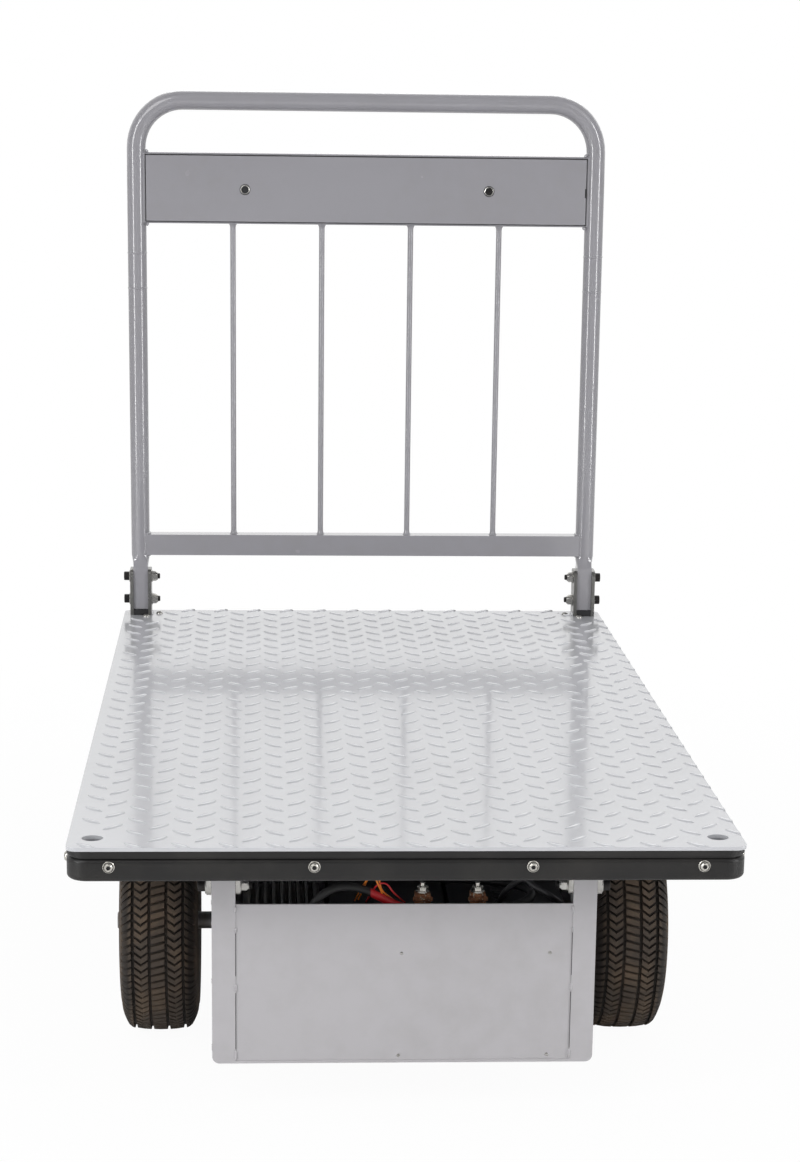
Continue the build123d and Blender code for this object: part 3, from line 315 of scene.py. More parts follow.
@dataclass(frozen=True)
class Enamel:
    """Gloss enamel on sheet steel, with orange peel, hairline scratches and a little grime."""

    name: str
    colour: Rgb
    roughness: float = 0.26
    coat: float = 0.35
    grime: float = 0.18
    coat_roughness: float = 0.06
    relief_depth: float = 0.00006
    shade: float = 0.955
    speck_share: float = 0.4
    dirt: Rgb = srgb(120, 114, 106)

    def material(self) -> bpy.types.Material:
        """Make the material.

        Returns:
            The material.
        """
        graph = Graph.named(self.name)
        clouds = graph.noise(5.0, detail=5.0)
        brushed = graph.stretched((1.0, 22.0, 1.0))
        hairline = graph.noise(30.0, detail=2.0, rough=0.5, at=brushed).between(0.68, 0.74)
        specks = graph.noise(260.0, detail=2.0).between(0.70, 0.76)
        shaded = tuple(part * self.shade for part in self.colour)
        grimy = (clouds * graph.noise(45.0, detail=4.0)).between(0.22, 0.42)
        colour = graph.blend(self.colour, shaded, clouds.between(0.35, 0.75))
        colour = graph.blend(colour, self.dirt, grimy * self.grime)
        colour = graph.blend(colour, self.dirt, specks * (self.speck_share * self.grime))
        roughness = self.roughness + 0.06 * clouds.between(0.3, 0.8) + 0.05 * hairline
        peel = graph.noise(330.0, detail=2.0, rough=0.4) + 0.35 * graph.noise(60.0, detail=1.0)
        return graph.surface(
            colour,
            roughness,
            relief=peel - 0.25 * hairline,
            relief_depth=self.relief_depth,
            coat=self.coat,
            coat_roughness=self.coat_roughness,
        )


@dataclass(frozen=True)
class Rubber:
    """Moulded rubber or soft trim, with fine grain, scuffs and dust."""

    name: str
    colour: Rgb
    dust: Rgb
    roughness: float = 0.48
    dusting: float = 0.35
    relief_depth: float = 0.00012
    specular: float = 0.45

    def material(self) -> bpy.types.Material:
        """Make the material.

        Returns:
            The material.
        """
        graph = Graph.named(self.name)
        patches = graph.noise(14.0, detail=5.0)
        rubbed = graph.stretched((0.4, 0.4, 9.0))
        scuffs = graph.noise(24.0, detail=3.0, rough=0.6, at=rubbed).between(0.58, 0.72)
        grain = graph.noise(900.0, detail=2.0)
        dusty = (patches.between(0.45, 0.8) + 0.5 * scuffs) * self.dusting
        colour = graph.blend(self.colour, self.dust, dusty)
        roughness = self.roughness + 0.14 * patches + 0.10 * scuffs
        relief = grain + 0.8 * patches - 0.4 * scuffs
        return graph.surface(colour, roughness, relief, self.relief_depth, specular=self.specular)


@dataclass(frozen=True)
class Tyre:
    """Turf tyre rubber: brown worn lugs, painted shade in the grooves and a film of dry dust."""

    name: str
    axle_y: float
    axle_z: float
    radius: float
    lug: Rgb = srgb(68, 59, 51)
    worn: Rgb = srgb(106, 88, 70)
    # The groove colour is painted shade, darkening the tread's grooves.
    groove: Rgb = srgb(24, 20, 17)
    dust: Rgb = srgb(112, 98, 80)
    groove_from: float = 0.0012
    groove_full: float = 0.0048
    tread_from: float = 0.110
    tread_full: float = 0.116
    relief_depth: float = 0.0002
    specular: float = 0.35

    def material(self) -> bpy.types.Material:
        """Make the material.

        Returns:
            The material.
        """
        graph = Graph.named(self.name)
        run = graph.axis("Y") - self.axle_y
        rise = graph.axis("Z") - self.axle_z
        reach = (run * run + rise * rise) ** 0.5
        sunk = (self.radius - reach).between(self.groove_from, self.groove_full)
        sunk = sunk * reach.between(self.tread_from, self.tread_full)
        patches = graph.noise(22.0, detail=5.0, rough=0.6)
        film = graph.noise(7.0, detail=3.0).between(0.35, 0.75)
        colour = graph.blend(self.lug, self.worn, patches.between(0.45, 0.8) * 0.8)
        # Painted shade: the grooves are darkened towards the groove colour, with less dust there.
        colour = graph.blend(colour, self.groove, sunk * 0.85)
        colour = graph.blend(colour, self.dust, film * patches.between(0.5, 0.8) * 0.4 * (1 - 0.7 * sunk))
        roughness = 0.62 + 0.22 * patches
        relief = graph.noise(700.0, detail=2.0) + 0.7 * patches
        return graph.surface(colour, roughness, relief, self.relief_depth, specular=self.specular)


@dataclass(frozen=True)
class Plated:
    """Plated or bare metal with a mottled film and fine wear."""

    name: str
    colour: Rgb
    film: Rgb
    roughness: float = 0.30
    mottle: float = 0.5
    metallic: float = 1.0
    relief_depth: float = 0.00005

    def material(self) -> bpy.types.Material:
        """Make the material.

        Returns:
            The material.
        """
        graph = Graph.named(self.name)
        spangle = {"Vector": graph.place(), "Scale": 260.0}
        cells = graph.node("ShaderNodeTexVoronoi", {"feature": "F1"}, spangle, out=0)
        patches = graph.noise(70.0, detail=4.0)
        share = (patches.between(0.35, 0.75) + 0.3 * cells) * self.mottle
        colour = graph.blend(self.colour, self.film, share)
        roughness = self.roughness + 0.22 * patches.between(0.4, 0.8) + 0.05 * cells
        relief = graph.noise(600.0, detail=2.0)
        return graph.surface(colour, roughness, relief, self.relief_depth, metallic=self.metallic)


@dataclass(frozen=True)
class Cast:
    """Cast or ground metal under thin paint, with a coarse skin and settled dust."""

    name: str
    colour: Rgb
    dust: Rgb
    roughness: float = 0.5
    metallic: float = 0.0
    skin: float = 0.0003

    def material(self) -> bpy.types.Material:
        """Make the material.

        Returns:
            The material.
        """
        graph = Graph.named(self.name)
        patches = graph.noise(18.0, detail=5.0)
        normal = graph.node("ShaderNodeTexCoord", out="Normal")
        facing = graph.node("ShaderNodeSeparateXYZ", {}, {0: normal}, out="Z")
        settled = facing.between(0.1, 0.9) * patches.between(0.3, 0.7)
        colour = graph.blend(self.colour, self.dust, settled * 0.45 + 0.18 * patches)
        pits = graph.noise(420.0, detail=3.0, rough=0.7)
        roughness = self.roughness + 0.2 * patches
        return graph.surface(colour, roughness, pits + 0.4 * patches, self.skin, metallic=self.metallic)


@dataclass(frozen=True)
class Plastic:
    """Moulded plastic with a spark-eroded grain."""

    name: str
    colour: Rgb
    roughness: float = 0.42
    grain: float = 850.0
    relief_depth: float = 0.00009

    def material(self) -> bpy.types.Material:
        """Make the material.

        Returns:
            The material.
        """
        graph = Graph.named(self.name)
        film = graph.noise(20.0, detail=4.0)
        paler = tuple(min(1.0, part * 1.6 + 0.02) for part in self.colour)
        colour = graph.blend(self.colour, paler, film.between(0.45, 0.85) * 0.5)
        relief = graph.noise(self.grain, detail=2.0)
        return graph.surface(colour, self.roughness + 0.15 * film, relief, self.relief_depth)


@dataclass(frozen=True)
class Corroded:
    """Brass of a battery terminal, with copper stain and pale salts."""

    name: str
    brass: Rgb = srgb(150, 104, 74)
    copper: Rgb = srgb(96, 62, 48)
    salt: Rgb = srgb(176, 184, 170)
    relief_depth: float = 0.0004

    def material(self) -> bpy.types.Material:
        """Make the material.

        Returns:
            The material.
        """
        graph = Graph.named(self.name)
        stain = graph.noise(160.0, detail=4.0, rough=0.65)
        salts = graph.noise(420.0, detail=3.0).between(0.56, 0.66)
        colour = graph.blend(self.brass, self.copper, stain.between(0.35, 0.65))
        colour = graph.blend(colour, self.salt, salts * 0.55)
        roughness = 0.42 + 0.35 * stain
        metallic = 0.8 - 0.7 * salts
        return graph.surface(colour, roughness, stain + salts, self.relief_depth, metallic=metallic)


@dataclass(frozen=True)
class SleevedCable:
    """Cable whose first stretch runs in a dark sleeve."""

    name: str
    colour: Rgb
    sleeve: Rgb
    sleeve_end_x: float
    sleeve_fade: float = 0.0006
    dust: Rgb = srgb(60, 56, 52)
    relief_depth: float = 0.0001

    def material(self) -> bpy.types.Material:
        """Make the material.

        Returns:
            The material.
        """
        graph = Graph.named(self.name)
        low, high = self.sleeve_end_x - self.sleeve_fade, self.sleeve_end_x + self.sleeve_fade
        bare = graph.axis("X").between(low, high)
        film = graph.noise(40.0, detail=4.0)
        colour = graph.blend(self.sleeve, self.colour, bare)
        colour = graph.blend(colour, self.dust, film.between(0.5, 0.9) * 0.2)
        roughness = 0.52 - 0.16 * bare + 0.15 * film
        return graph.surface(colour, roughness, graph.noise(300.0, detail=2.0), self.relief_depth)


Finish = Enamel | Rubber | Tyre | Plated | Cast | Plastic | Corroded | SleevedCable


class Finishes:
    """Every finish of the cart, made once each, with the record slot that it belongs to."""

    def __init__(self) -> None:
        """List the finishes."""
        grey_dust = srgb(150, 143, 132)
        brown_dust = srgb(112, 98, 82)
        lead_red = srgb(178, 30, 36)
        self._recipes: dict[str, Finish] = {
            # One paint in copies of different colour: the handle's is darker, painted shade; the box's is
            # lighter than the handle's, painted light; the frame's, under the deck, is darker and grimier.
            "deck_paint": Enamel("deck_enamel", srgb(189, 190, 194), 0.17, 0.6, 0.06, coat_roughness=0.07),
            "shaded_handle_paint": Enamel("shaded_handle_enamel", srgb(139, 138, 143), 0.2, 1.0, 0.08, coat_roughness=0.05),
            "box_paint": Enamel("box_enamel", srgb(174, 172, 175), 0.32, 0.25, 0.10),
            "frame_paint": Enamel("frame_enamel", srgb(142, 143, 148), 0.40, 0.15, 0.5),
            "bumper_rubber": Rubber("bumper_rubber", srgb(20, 19, 19), grey_dust, 0.34, 0.04),
            "zinc": Plated("zinc_plate", srgb(190, 189, 186), srgb(134, 130, 122), 0.20, 0.4),
            "bolts": Plated("black_oxide", srgb(34, 34, 36), srgb(70, 64, 58), 0.38, 0.4, 0.6),
            # Flat black that stands where there is only shade: painted shade in gaps, bores, recesses and
            # seams, and on the socket pads.
            "shade_black": Plastic("painted_shade_black", srgb(28, 28, 30), 0.6),
            "black_plastic": Plastic("black_moulding", srgb(30, 30, 32)),
            "battery_case": Plastic("battery_case", srgb(34, 34, 36), 0.5, 500.0),
            "red_plastic": Plastic("red_moulding", srgb(168, 30, 30), 0.35),
            "terminal_brass": Corroded("terminal_brass"),
            "controller_metal": Cast("controller_alloy", srgb(92, 94, 98), grey_dust, 0.42, 0.7, 0.0001),
            "red_cable": Plastic("red_cable", lead_red, 0.38, 300.0),
            # A darker copy of the zinc for the post sockets: painted shade.
            "shaded_socket_zinc": Plated("shaded_socket_zinc", srgb(140, 140, 138), srgb(92, 89, 84), 0.24, 0.4),
            # A lighter copy of the zinc for the screws and terminal bolts: painted highlight.
            "bright_zinc": Plated("bright_zinc", srgb(206, 204, 198), srgb(140, 134, 124), 0.15, 0.4),
            "sleeved_cable": SleevedCable("sleeved_cable", lead_red, srgb(18, 18, 19), sleeve_end_x=-0.036),
            "copper": Corroded("copper_lug"),
            "orange_cable": Plastic("orange_cable", srgb(214, 120, 40), 0.38, 300.0),
            "black_cable": Plastic("black_cable", srgb(26, 26, 28), 0.40, 300.0),
            "drive_housing": Cast("drive_casting", srgb(38, 38, 40), brown_dust, 0.46, 0.1),
            "shaft_steel": Plated("ground_steel", srgb(150, 150, 150), srgb(110, 96, 84), 0.34, 0.6),
            "rim_paint": Enamel("rim_enamel", srgb(200, 200, 202), 0.34, grime=0.6),
            "tyre_rubber": Tyre("turf_rubber", AXLE_Y * MM, AXLE_Z * MM, TYRE_R * MM),
            "caster_wheel_body": Cast("caster_wheel_casting", srgb(60, 62, 66), brown_dust, 0.5, 0.2),
            "caster_rubber": Rubber("caster_rubber", srgb(44, 43, 43), brown_dust, 0.6, 0.45),
        }
        self._slots = {
            "shaded_handle_paint": "deck_paint",
            "box_paint": "deck_paint",
            "frame_paint": "deck_paint",
            "shade_black": "black_plastic",
            "battery_case": "black_plastic",
            "orange_cable": "red_cable",
            "sleeved_cable": "red_cable",
            "bright_zinc": "zinc",
            "shaded_socket_zinc": "zinc",
            "copper": "terminal_brass",
        }
        self._made: dict[str, bpy.types.Material] = {}

    def get(self, name: str) -> bpy.types.Material:
        """Return the material of that finish, making it at its first use.

        Args:
            name: Key of the finish.

        Returns:
            The material.
        """
        if name not in self._made:
            self._made[name] = self._recipes[name].material()
        return self._made[name]

    def slot(self, name: str) -> str:
        """Return the record's slot of that finish."""
        return self._slots.get(name, name)

    def coat_nodes(self, name: str, *nodes: str) -> None:
        """Give CAD nodes that finish.

        Args:
            name: The finish.
            nodes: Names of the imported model's nodes.
        """
        for node in nodes:
            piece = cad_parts[node]
            if not piece.material_slots:
                piece.data.materials.append(None)
            for place in piece.material_slots:
                place.material = self.get(name)



# Geometry


class Form(Enum):
    """Outline of one ring of a turned or pressed form."""

    ROUND = "round"
    HEX = "hex"


Ring = tuple[float, float, Form]

PAN_HEAD: tuple[Pair, ...] = ((0, 1), (0.35, 0.98), (0.75, 0.80))
CAP_HEAD: tuple[Pair, ...] = ((0, 1), (0.88, 1), (0.97, 0.93))
WASHER: tuple[Pair, ...] = ((0, 1), (0.7, 1), (1, 0.95))


def rounds(
    profile: Iterable[Pair], height: float = 1.0, radius: float = 1.0, spare: float = 0.0
) -> list[Ring]:
    """Return round rings for a turned form.

    Args:
        profile: Distance along the axis and radius of each ring.
        height: Scale of the distances.
        radius: Scale of the radii.
        spare: Radius that every ring has besides.

    Returns:
        The rings.
    """
    return [(height * along, spare + radius * out, Form.ROUND) for along, out in profile]


def beyond(at: Point, towards: Point, distance: float = 1.0) -> Point:
    """Return a place moved along a direction, or by the whole offset where no distance is given."""
    return tuple(place + distance * way for place, way in zip(at, towards))


def ring_places(count: int, radius: float, turn: float = 0.5) -> list[Pair]:
    """Return even places on a circle about 0, 0.

    Args:
        count: How many places.
        radius: The circle's radius.
        turn: Where the first lies, in spacings.

    Returns:
        The places.
    """
    angles = [2 * math.pi * (step + turn) / count for step in range(count)]
    return [(radius * math.cos(angle), radius * math.sin(angle)) for angle in angles]


class Draft:
    """Collects the mesh of one piece, in millimetres, and turns it into an object.

    Attributes:
        WELD_STEP: Distance between the rings of a weld bead.
        WELD_TIP: Share of its radius that a bead has at its very ends.
        WELD_TAPER: Distance over which its end would grow by a whole radius.
        WELD_WAVE: Height of its ripples, as a share of its radius.
    """

    WELD_STEP = 0.9
    WELD_TIP = 0.35
    WELD_TAPER = 2.5
    WELD_WAVE = 0.14

    def __init__(self) -> None:
        """Start with nothing."""
        self.points: list[Vector] = []
        self.faces: list[tuple[int, ...]] = []

    def grid(self, rows: Sequence[Sequence[Vector]], loop: bool = False) -> None:
        """Skin a list of closed rings that have the same number of points.

        Args:
            rows: The rings.
            loop: Whether the last ring joins the first, rather than both being filled.
        """
        base = len(self.points)
        count = len(rows[0])
        for row in rows:
            self.points.extend(row)
        pairs = [(row, row + 1) for row in range(len(rows) - 1)]
        if loop:
            pairs.append((len(rows) - 1, 0))
        for low, high in pairs:
            under, over = base + low * count, base + high * count
            for step in range(count):
                after = (step + 1) % count
                self.faces.append((under + step, under + after, over + after, over + step))
        if not loop:
            last = base + (len(rows) - 1) * count
            self.faces.append(tuple(base + step for step in reversed(range(count))))
            self.faces.append(tuple(last + step for step in range(count)))

    def turned(self, rings: Iterable[Ring], at: Point, towards: Point, segments: int = 24) -> None:
        """Add a form turned about an axis, with round or hexagonal rings.

        Args:
            rings: Distance along the axis, radius, and form, in order.
            at: Where the axis starts.
            towards: The axis's direction.
            segments: Points round each ring.
        """
        turn = Vector((0, 0, 1)).rotation_difference(Vector(towards)).to_matrix()
        rows = []
        for along, radius, form in rings:
            row = []
            for step in range(segments):
                angle = 2 * math.pi * step / segments
                reach = radius
                if form is Form.HEX:
                    reach *= math.cos(math.pi / 6) / math.cos(angle % (math.pi / 3) - math.pi / 6)
                spot = Vector((reach * math.cos(angle), reach * math.sin(angle), along))
                row.append(Vector(at) + turn @ spot)
            rows.append(row)
        self.grid(rows)

    def box(self, low: Point, high: Point, chamfer: float = 0.6) -> None:
        """Add a block with chamfered long edges, standing along Z.

        Args:
            low: Lowest corner.
            high: Highest corner.
            chamfer: Size of the chamfer.
        """
        edge = min(chamfer, *((high[i] - low[i]) / 3 for i in range(3)))

        def ring(inset: float, z: float) -> list[Vector]:
            """Return one chamfered outline.

            Args:
                inset: How far it lies inside the box's sides.
                z: Its height.

            Returns:
                Its eight corners.
            """
            left, right = low[0] + inset, high[0] - inset
            near, far = low[1] + inset, high[1] - inset
            outline = (
                (left + edge, near), (right - edge, near), (right, near + edge), (right, far - edge),
                (right - edge, far), (left + edge, far), (left, far - edge), (left, near + edge),
            )
            return [Vector((x, y, z)) for x, y in outline]

        self.grid([ring(edge, low[2]), ring(0, low[2] + edge), ring(0, high[2] - edge), ring(edge, high[2])])

    def swept(self, path: Sequence[Vector], radius: Callable[[float], float], sides: int = 8) -> None:
        """Add a tube along a path, with a radius that may change along it.

        Args:
            path: Points along the middle.
            radius: Radius by the distance run.
            sides: Sides of the tube.
        """
        rows = []
        run = 0.0
        normal = Vector((0, 0, 1))
        for place, point in enumerate(path):
            after = path[min(place + 1, len(path) - 1)]
            before = path[max(place - 1, 0)]
            along = (after - before).normalized()
            normal = normal - along * normal.dot(along)
            if normal.length < 1e-6:
                normal = along.orthogonal()
            normal.normalize()
            across = along.cross(normal)
            run += (point - before).length if place else 0.0
            size = radius(run)
            rows.append(
                [
                    point + size * (math.cos(angle) * normal + math.sin(angle) * across)
                    for angle in (2 * math.pi * side / sides for side in range(sides))
                ]
            )
        self.grid(rows)

    def weld(self, corners: Sequence[Point], radius: float = 1.8, ripple: float = 2.6) -> None:
        """Add a rippled weld bead through some corners.

        Args:
            corners: The bead's run.
            radius: The bead's radius.
            ripple: Distance between ripples.
        """
        path: list[Vector] = []
        for start, end in zip(corners, corners[1:]):
            first, last = Vector(start), Vector(end)
            steps = max(2, int((last - first).length / self.WELD_STEP))
            path += [first.lerp(last, step / steps) for step in range(steps)]
        path.append(Vector(corners[-1]))
        length = sum((b - a).length for a, b in zip(path, path[1:]))

        def size(run: float) -> float:
            """Return the bead's radius at that distance, with closed ends."""
            end = min(1.0, self.WELD_TIP + min(run, length - run) / self.WELD_TAPER)
            return radius * end * (1 + self.WELD_WAVE * math.sin(2 * math.pi * run / ripple))

        self.swept(path, size)

    def piece(
        self, name: str, finishes: Finishes, finish: str, body: str, sharp: float = 32.0
    ) -> bpy.types.Object:
        """Turn the draft into an object that rides on a body.

        Args:
            name: Name of the piece.
            finishes: The finishes.
            finish: The piece's finish.
            body: The body that carries it.
            sharp: Angle in degrees above which an edge stays sharp.

        Returns:
            The object.
        """
        mesh = bpy.data.meshes.new(name)
        mesh.from_pydata([point * MM for point in self.points], [], self.faces)
        mesh.validate()
        mesh.update()
        mesh.shade_smooth()
        mesh.set_sharp_from_angle(angle=math.radians(sharp))
        made = bpy.data.objects.new(name, mesh)
        bpy.context.scene.collection.objects.link(made)
        mesh.materials.append(finishes.get(finish))
        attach(made, body)
        finishes.slot(finish)
        log.info("%s: %d faces on %s", name, len(mesh.polygons), body)
        return made


def curve_through(points: Sequence[Point], steps: int = 8) -> list[Vector]:
    """Return a smooth path through some points.

    Args:
        points: The points.
        steps: Steps between two of them.

    Returns:
        The path.
    """
    ends = [Vector(point) for point in points]
    ends = [2 * ends[0] - ends[1], *ends, 2 * ends[-1] - ends[-2]]
    path = []
    for a, b, c, d in zip(ends, ends[1:], ends[2:], ends[3:]):
        for step in range(steps):
            t = step / steps
            square, cube = 2 * a - 5 * b + 4 * c - d, 3 * b - a - 3 * c + d
            path.append(0.5 * (2 * b + (c - a) * t + square * t * t + cube * t**3))
    path.append(ends[-2])
    return path


def hex_head(draft: Draft, at: Point, towards: Point, radius: float, height: float) -> None:
    """Add a hexagon head or nut, chamfered at its top.

    Args:
        draft: The mesh to add to.
        at: Middle of its seat.
        towards: Where it stands up to.
        radius: Radius to its corners.
        height: Its height.
    """
    rings = [(0, radius, Form.HEX), (height * 0.82, radius, Form.HEX), (height, radius * 0.86, Form.ROUND)]
    draft.turned(rings, at, towards)


def washer(draft: Draft, at: Point, towards: Point, radius: float, height: float = 1.4) -> None:
    """Add a washer with rounded edges.

    Args:
        draft: The mesh to add to.
        at: Middle of its seat.
        towards: Where it stands up to.
        radius: Its radius.
        height: Its thickness.
    """
    draft.turned(rounds(WASHER, height, radius), at, towards)


def washer_and_head(
    draft: Draft, at: Point, towards: Point, washer_r: float, head: Pair, thick: float = 1.4
) -> None:
    """Add a washer with a hexagon head or nut on it.

    Args:
        draft: The mesh to add to.
        at: Middle of the washer's seat.
        towards: Where they stand up to.
        washer_r: The washer's radius.
        head: The head's radius to its corners, and its height.
        thick: The washer's thickness.
    """
    washer(draft, at, towards, washer_r, thick)
    hex_head(draft, beyond(at, towards, thick), towards, *head)


def socket_head(
    draft: Draft, at: Point, towards: Point, radius: float, height: float, domed: bool = False
) -> None:
    """Add a screw head with a hexagon recess.

    Args:
        draft: The mesh to add to.
        at: Middle of its seat.
        towards: Where it stands up to.
        radius: Its radius.
        height: Its height.
        domed: Whether it is a pan head rather than a straight cap.
    """
    key = radius * 0.46
    side = rounds(PAN_HEAD if domed else CAP_HEAD, height, radius)
    recess = [(height, radius * 0.62, Form.ROUND), (height, key, Form.HEX), (height * 0.45, key, Form.HEX)]
    draft.turned(side + recess, at, towards)


# Sub-assemblies


@dataclass
class Deck:
    """Tear-plate deck: the plate and frame from the CAD, with the raised lentils of the pattern.

    A lentil's size is its length, width and height. Each of its levels is a share of its outline and
    a share of its height.
    """

    half_width: float = DECK_HALF_WIDTH
    half_length: float = DECK_HALF_LENGTH
    top: float = DECK_TOP
    pitch: float = 49.06
    first: Pair = (-261.3, -575.1)
    columns: range = range(-3, 15)
    rows: range = range(-3, 28)
    lentil: Triple = (30.5, 8.2, 1.6)
    lentil_sides: int = 16
    lentil_levels: tuple[Pair, ...] = ((1.0, -0.15), (0.93, 0.12), (0.70, 0.72), (0.36, 1.0))
    top_length: float = 0.4
    overhang: float = 0.30
    edge_gap: float = 6.0
    edge_trim: float = 0.4
    corner_gap: float = 16.0
    stake_holes: tuple[Pair, ...] = ((-329.5, -618.0), (329.5, -618.0))
    stake_clear: float = 22.0
    sockets: Pair = (POST_X, POST_Y)
    socket_clear: Pair = (26.0, 30.0)

    def build(self, finishes: Finishes) -> None:
        """Make the deck's pieces and coat its nodes.

        Args:
            finishes: The cart's finishes.
        """
        finishes.coat_nodes("deck_paint", "deck_plate")
        finishes.coat_nodes("frame_paint", "deck_rim", "cross_members", "caster_beam")
        self.lentils().piece("deck_lentils", finishes, "deck_paint", CHASSIS, sharp=80.0)

    def lentils(self) -> Draft:
        """Return the raised pattern: two sets of lentils, each at 45 degrees to the plate.

        Returns:
            The mesh of all of them.
        """
        draft = Draft()
        for shift, lean in ((0.0, 1), (0.5, -1)):
            for column in self.columns:
                for row in self.rows:
                    x = self.first[0] + (column + shift) * self.pitch
                    y = self.first[1] + (row + shift) * self.pitch
                    if self.clear(x, y):
                        self.add_lentil(draft, x, y, lean)
        return draft

    def clear(self, x: float, y: float) -> bool:
        """Tell whether a lentil at that place is on the plate and off its holes and sockets.

        Args:
            x: Its place across the deck.
            y: Its place along the deck.

        Returns:
            Whether it is.
        """
        beyond_edge = self.lentil[0] * self.overhang - self.edge_gap
        if abs(x) > self.half_width + beyond_edge or abs(y) > self.half_length + beyond_edge:
            return False
        if any(math.dist((x, y), hole) < self.stake_clear for hole in self.stake_holes):
            return False
        if abs(x) > self.half_width - self.corner_gap and abs(y) > self.half_length - self.corner_gap:
            return False
        beside_x = abs(abs(x) - self.sockets[0]) < self.socket_clear[0]
        return not (beside_x and abs(y - self.sockets[1]) < self.socket_clear[1])

    def add_lentil(self, draft: Draft, x: float, y: float, lean: int) -> None:
        """Add one lentil, cut off at the plate's edge.

        Args:
            draft: The mesh to add to.
            x: Its middle across the deck.
            y: Its middle along the deck.
            lean: 1 or -1 for the way that it leans.
        """
        length, width, height = self.lentil
        limit_x, limit_y = self.half_width - self.edge_trim, self.half_length - self.edge_trim
        rows = []
        for share, rise in self.lentil_levels:
            row = []
            for step in range(self.lentil_sides):
                angle = 2 * math.pi * step / self.lentil_sides
                along = math.cos(angle)
                at_tip = step % (self.lentil_sides // 2) == 0
                across = 0.0 if at_tip else math.copysign(1 - along * along, math.sin(angle))
                u = along * length / 2 * (self.top_length + (1 - self.top_length) * share)
                v = across * width / 2 * share
                px = x + (u - lean * v) * math.sqrt(0.5)
                py = y + (lean * u + v) * math.sqrt(0.5)
                px = max(-limit_x, min(limit_x, px))
                py = max(-limit_y, min(limit_y, py))
                row.append(Vector((px, py, self.top + rise * height)))
            rows.append(row)
        draft.grid(rows)


@dataclass
class Bumper:
    """Rubber bumper with its zinc screws, and painted shade in their recesses."""

    face_x: float = DECK_HALF_WIDTH
    face_y: float = DECK_HALF_LENGTH
    screw_z: float = 294.2
    head_r: float = 5.5
    head_height: float = 3.3
    head_lift: float = 0.6
    washer_lip: float = 0.9
    washer_thick: float = 1.0
    washer_sink: float = 0.3
    key_share: float = 0.5
    recess_shade_thick: float = 0.15
    near_screws: tuple[float, ...] = (-311.0, -98.0, 130.0, 310.0)
    side_screws: tuple[float, ...] = (-612.0, -205.0, 205.0, 612.0)

    def build(self, finishes: Finishes) -> None:
        """Make the screws and coat the bumper.

        Args:
            finishes: The cart's finishes.
        """
        finishes.coat_nodes("bumper_rubber", "bumper")
        draft, dark = Draft(), Draft()
        spots: list[tuple[Point, Point]] = []
        for x in self.near_screws:
            spots += [((x, -self.face_y, self.screw_z), NEAR), ((x, self.face_y, self.screw_z), FAR)]
        for y in self.side_screws:
            spots += [((side * self.face_x, y, self.screw_z), (side, 0, 0)) for side in SIDES]
        recess_shade_r = self.head_r * self.key_share
        for at, towards in spots:
            seat = beyond(at, towards, -self.washer_sink)
            washer(draft, seat, towards, self.head_r + self.washer_lip, self.washer_thick)
            raised = beyond(at, towards, self.head_lift)
            socket_head(draft, raised, towards, self.head_r, self.head_height, domed=True)
            # A black hexagon deep in each head's recess: painted shade.
            inside = beyond(at, towards, self.head_lift + self.head_height * self.key_share)
            dark.turned([(0, recess_shade_r, Form.HEX), (self.recess_shade_thick, recess_shade_r, Form.HEX)], inside, towards)
        draft.piece("bumper_screws", finishes, "bright_zinc", CHASSIS)
        dark.piece("bumper_screw_recess_shade", finishes, "shade_black", CHASSIS)


@dataclass(frozen=True)
class FrontPlate:
    """Flat piece on the panel's front, by its distances from the panel's ends, face and edges."""

    ends: float
    front: float
    back: float
    low: float
    high: float
    chamfer: float


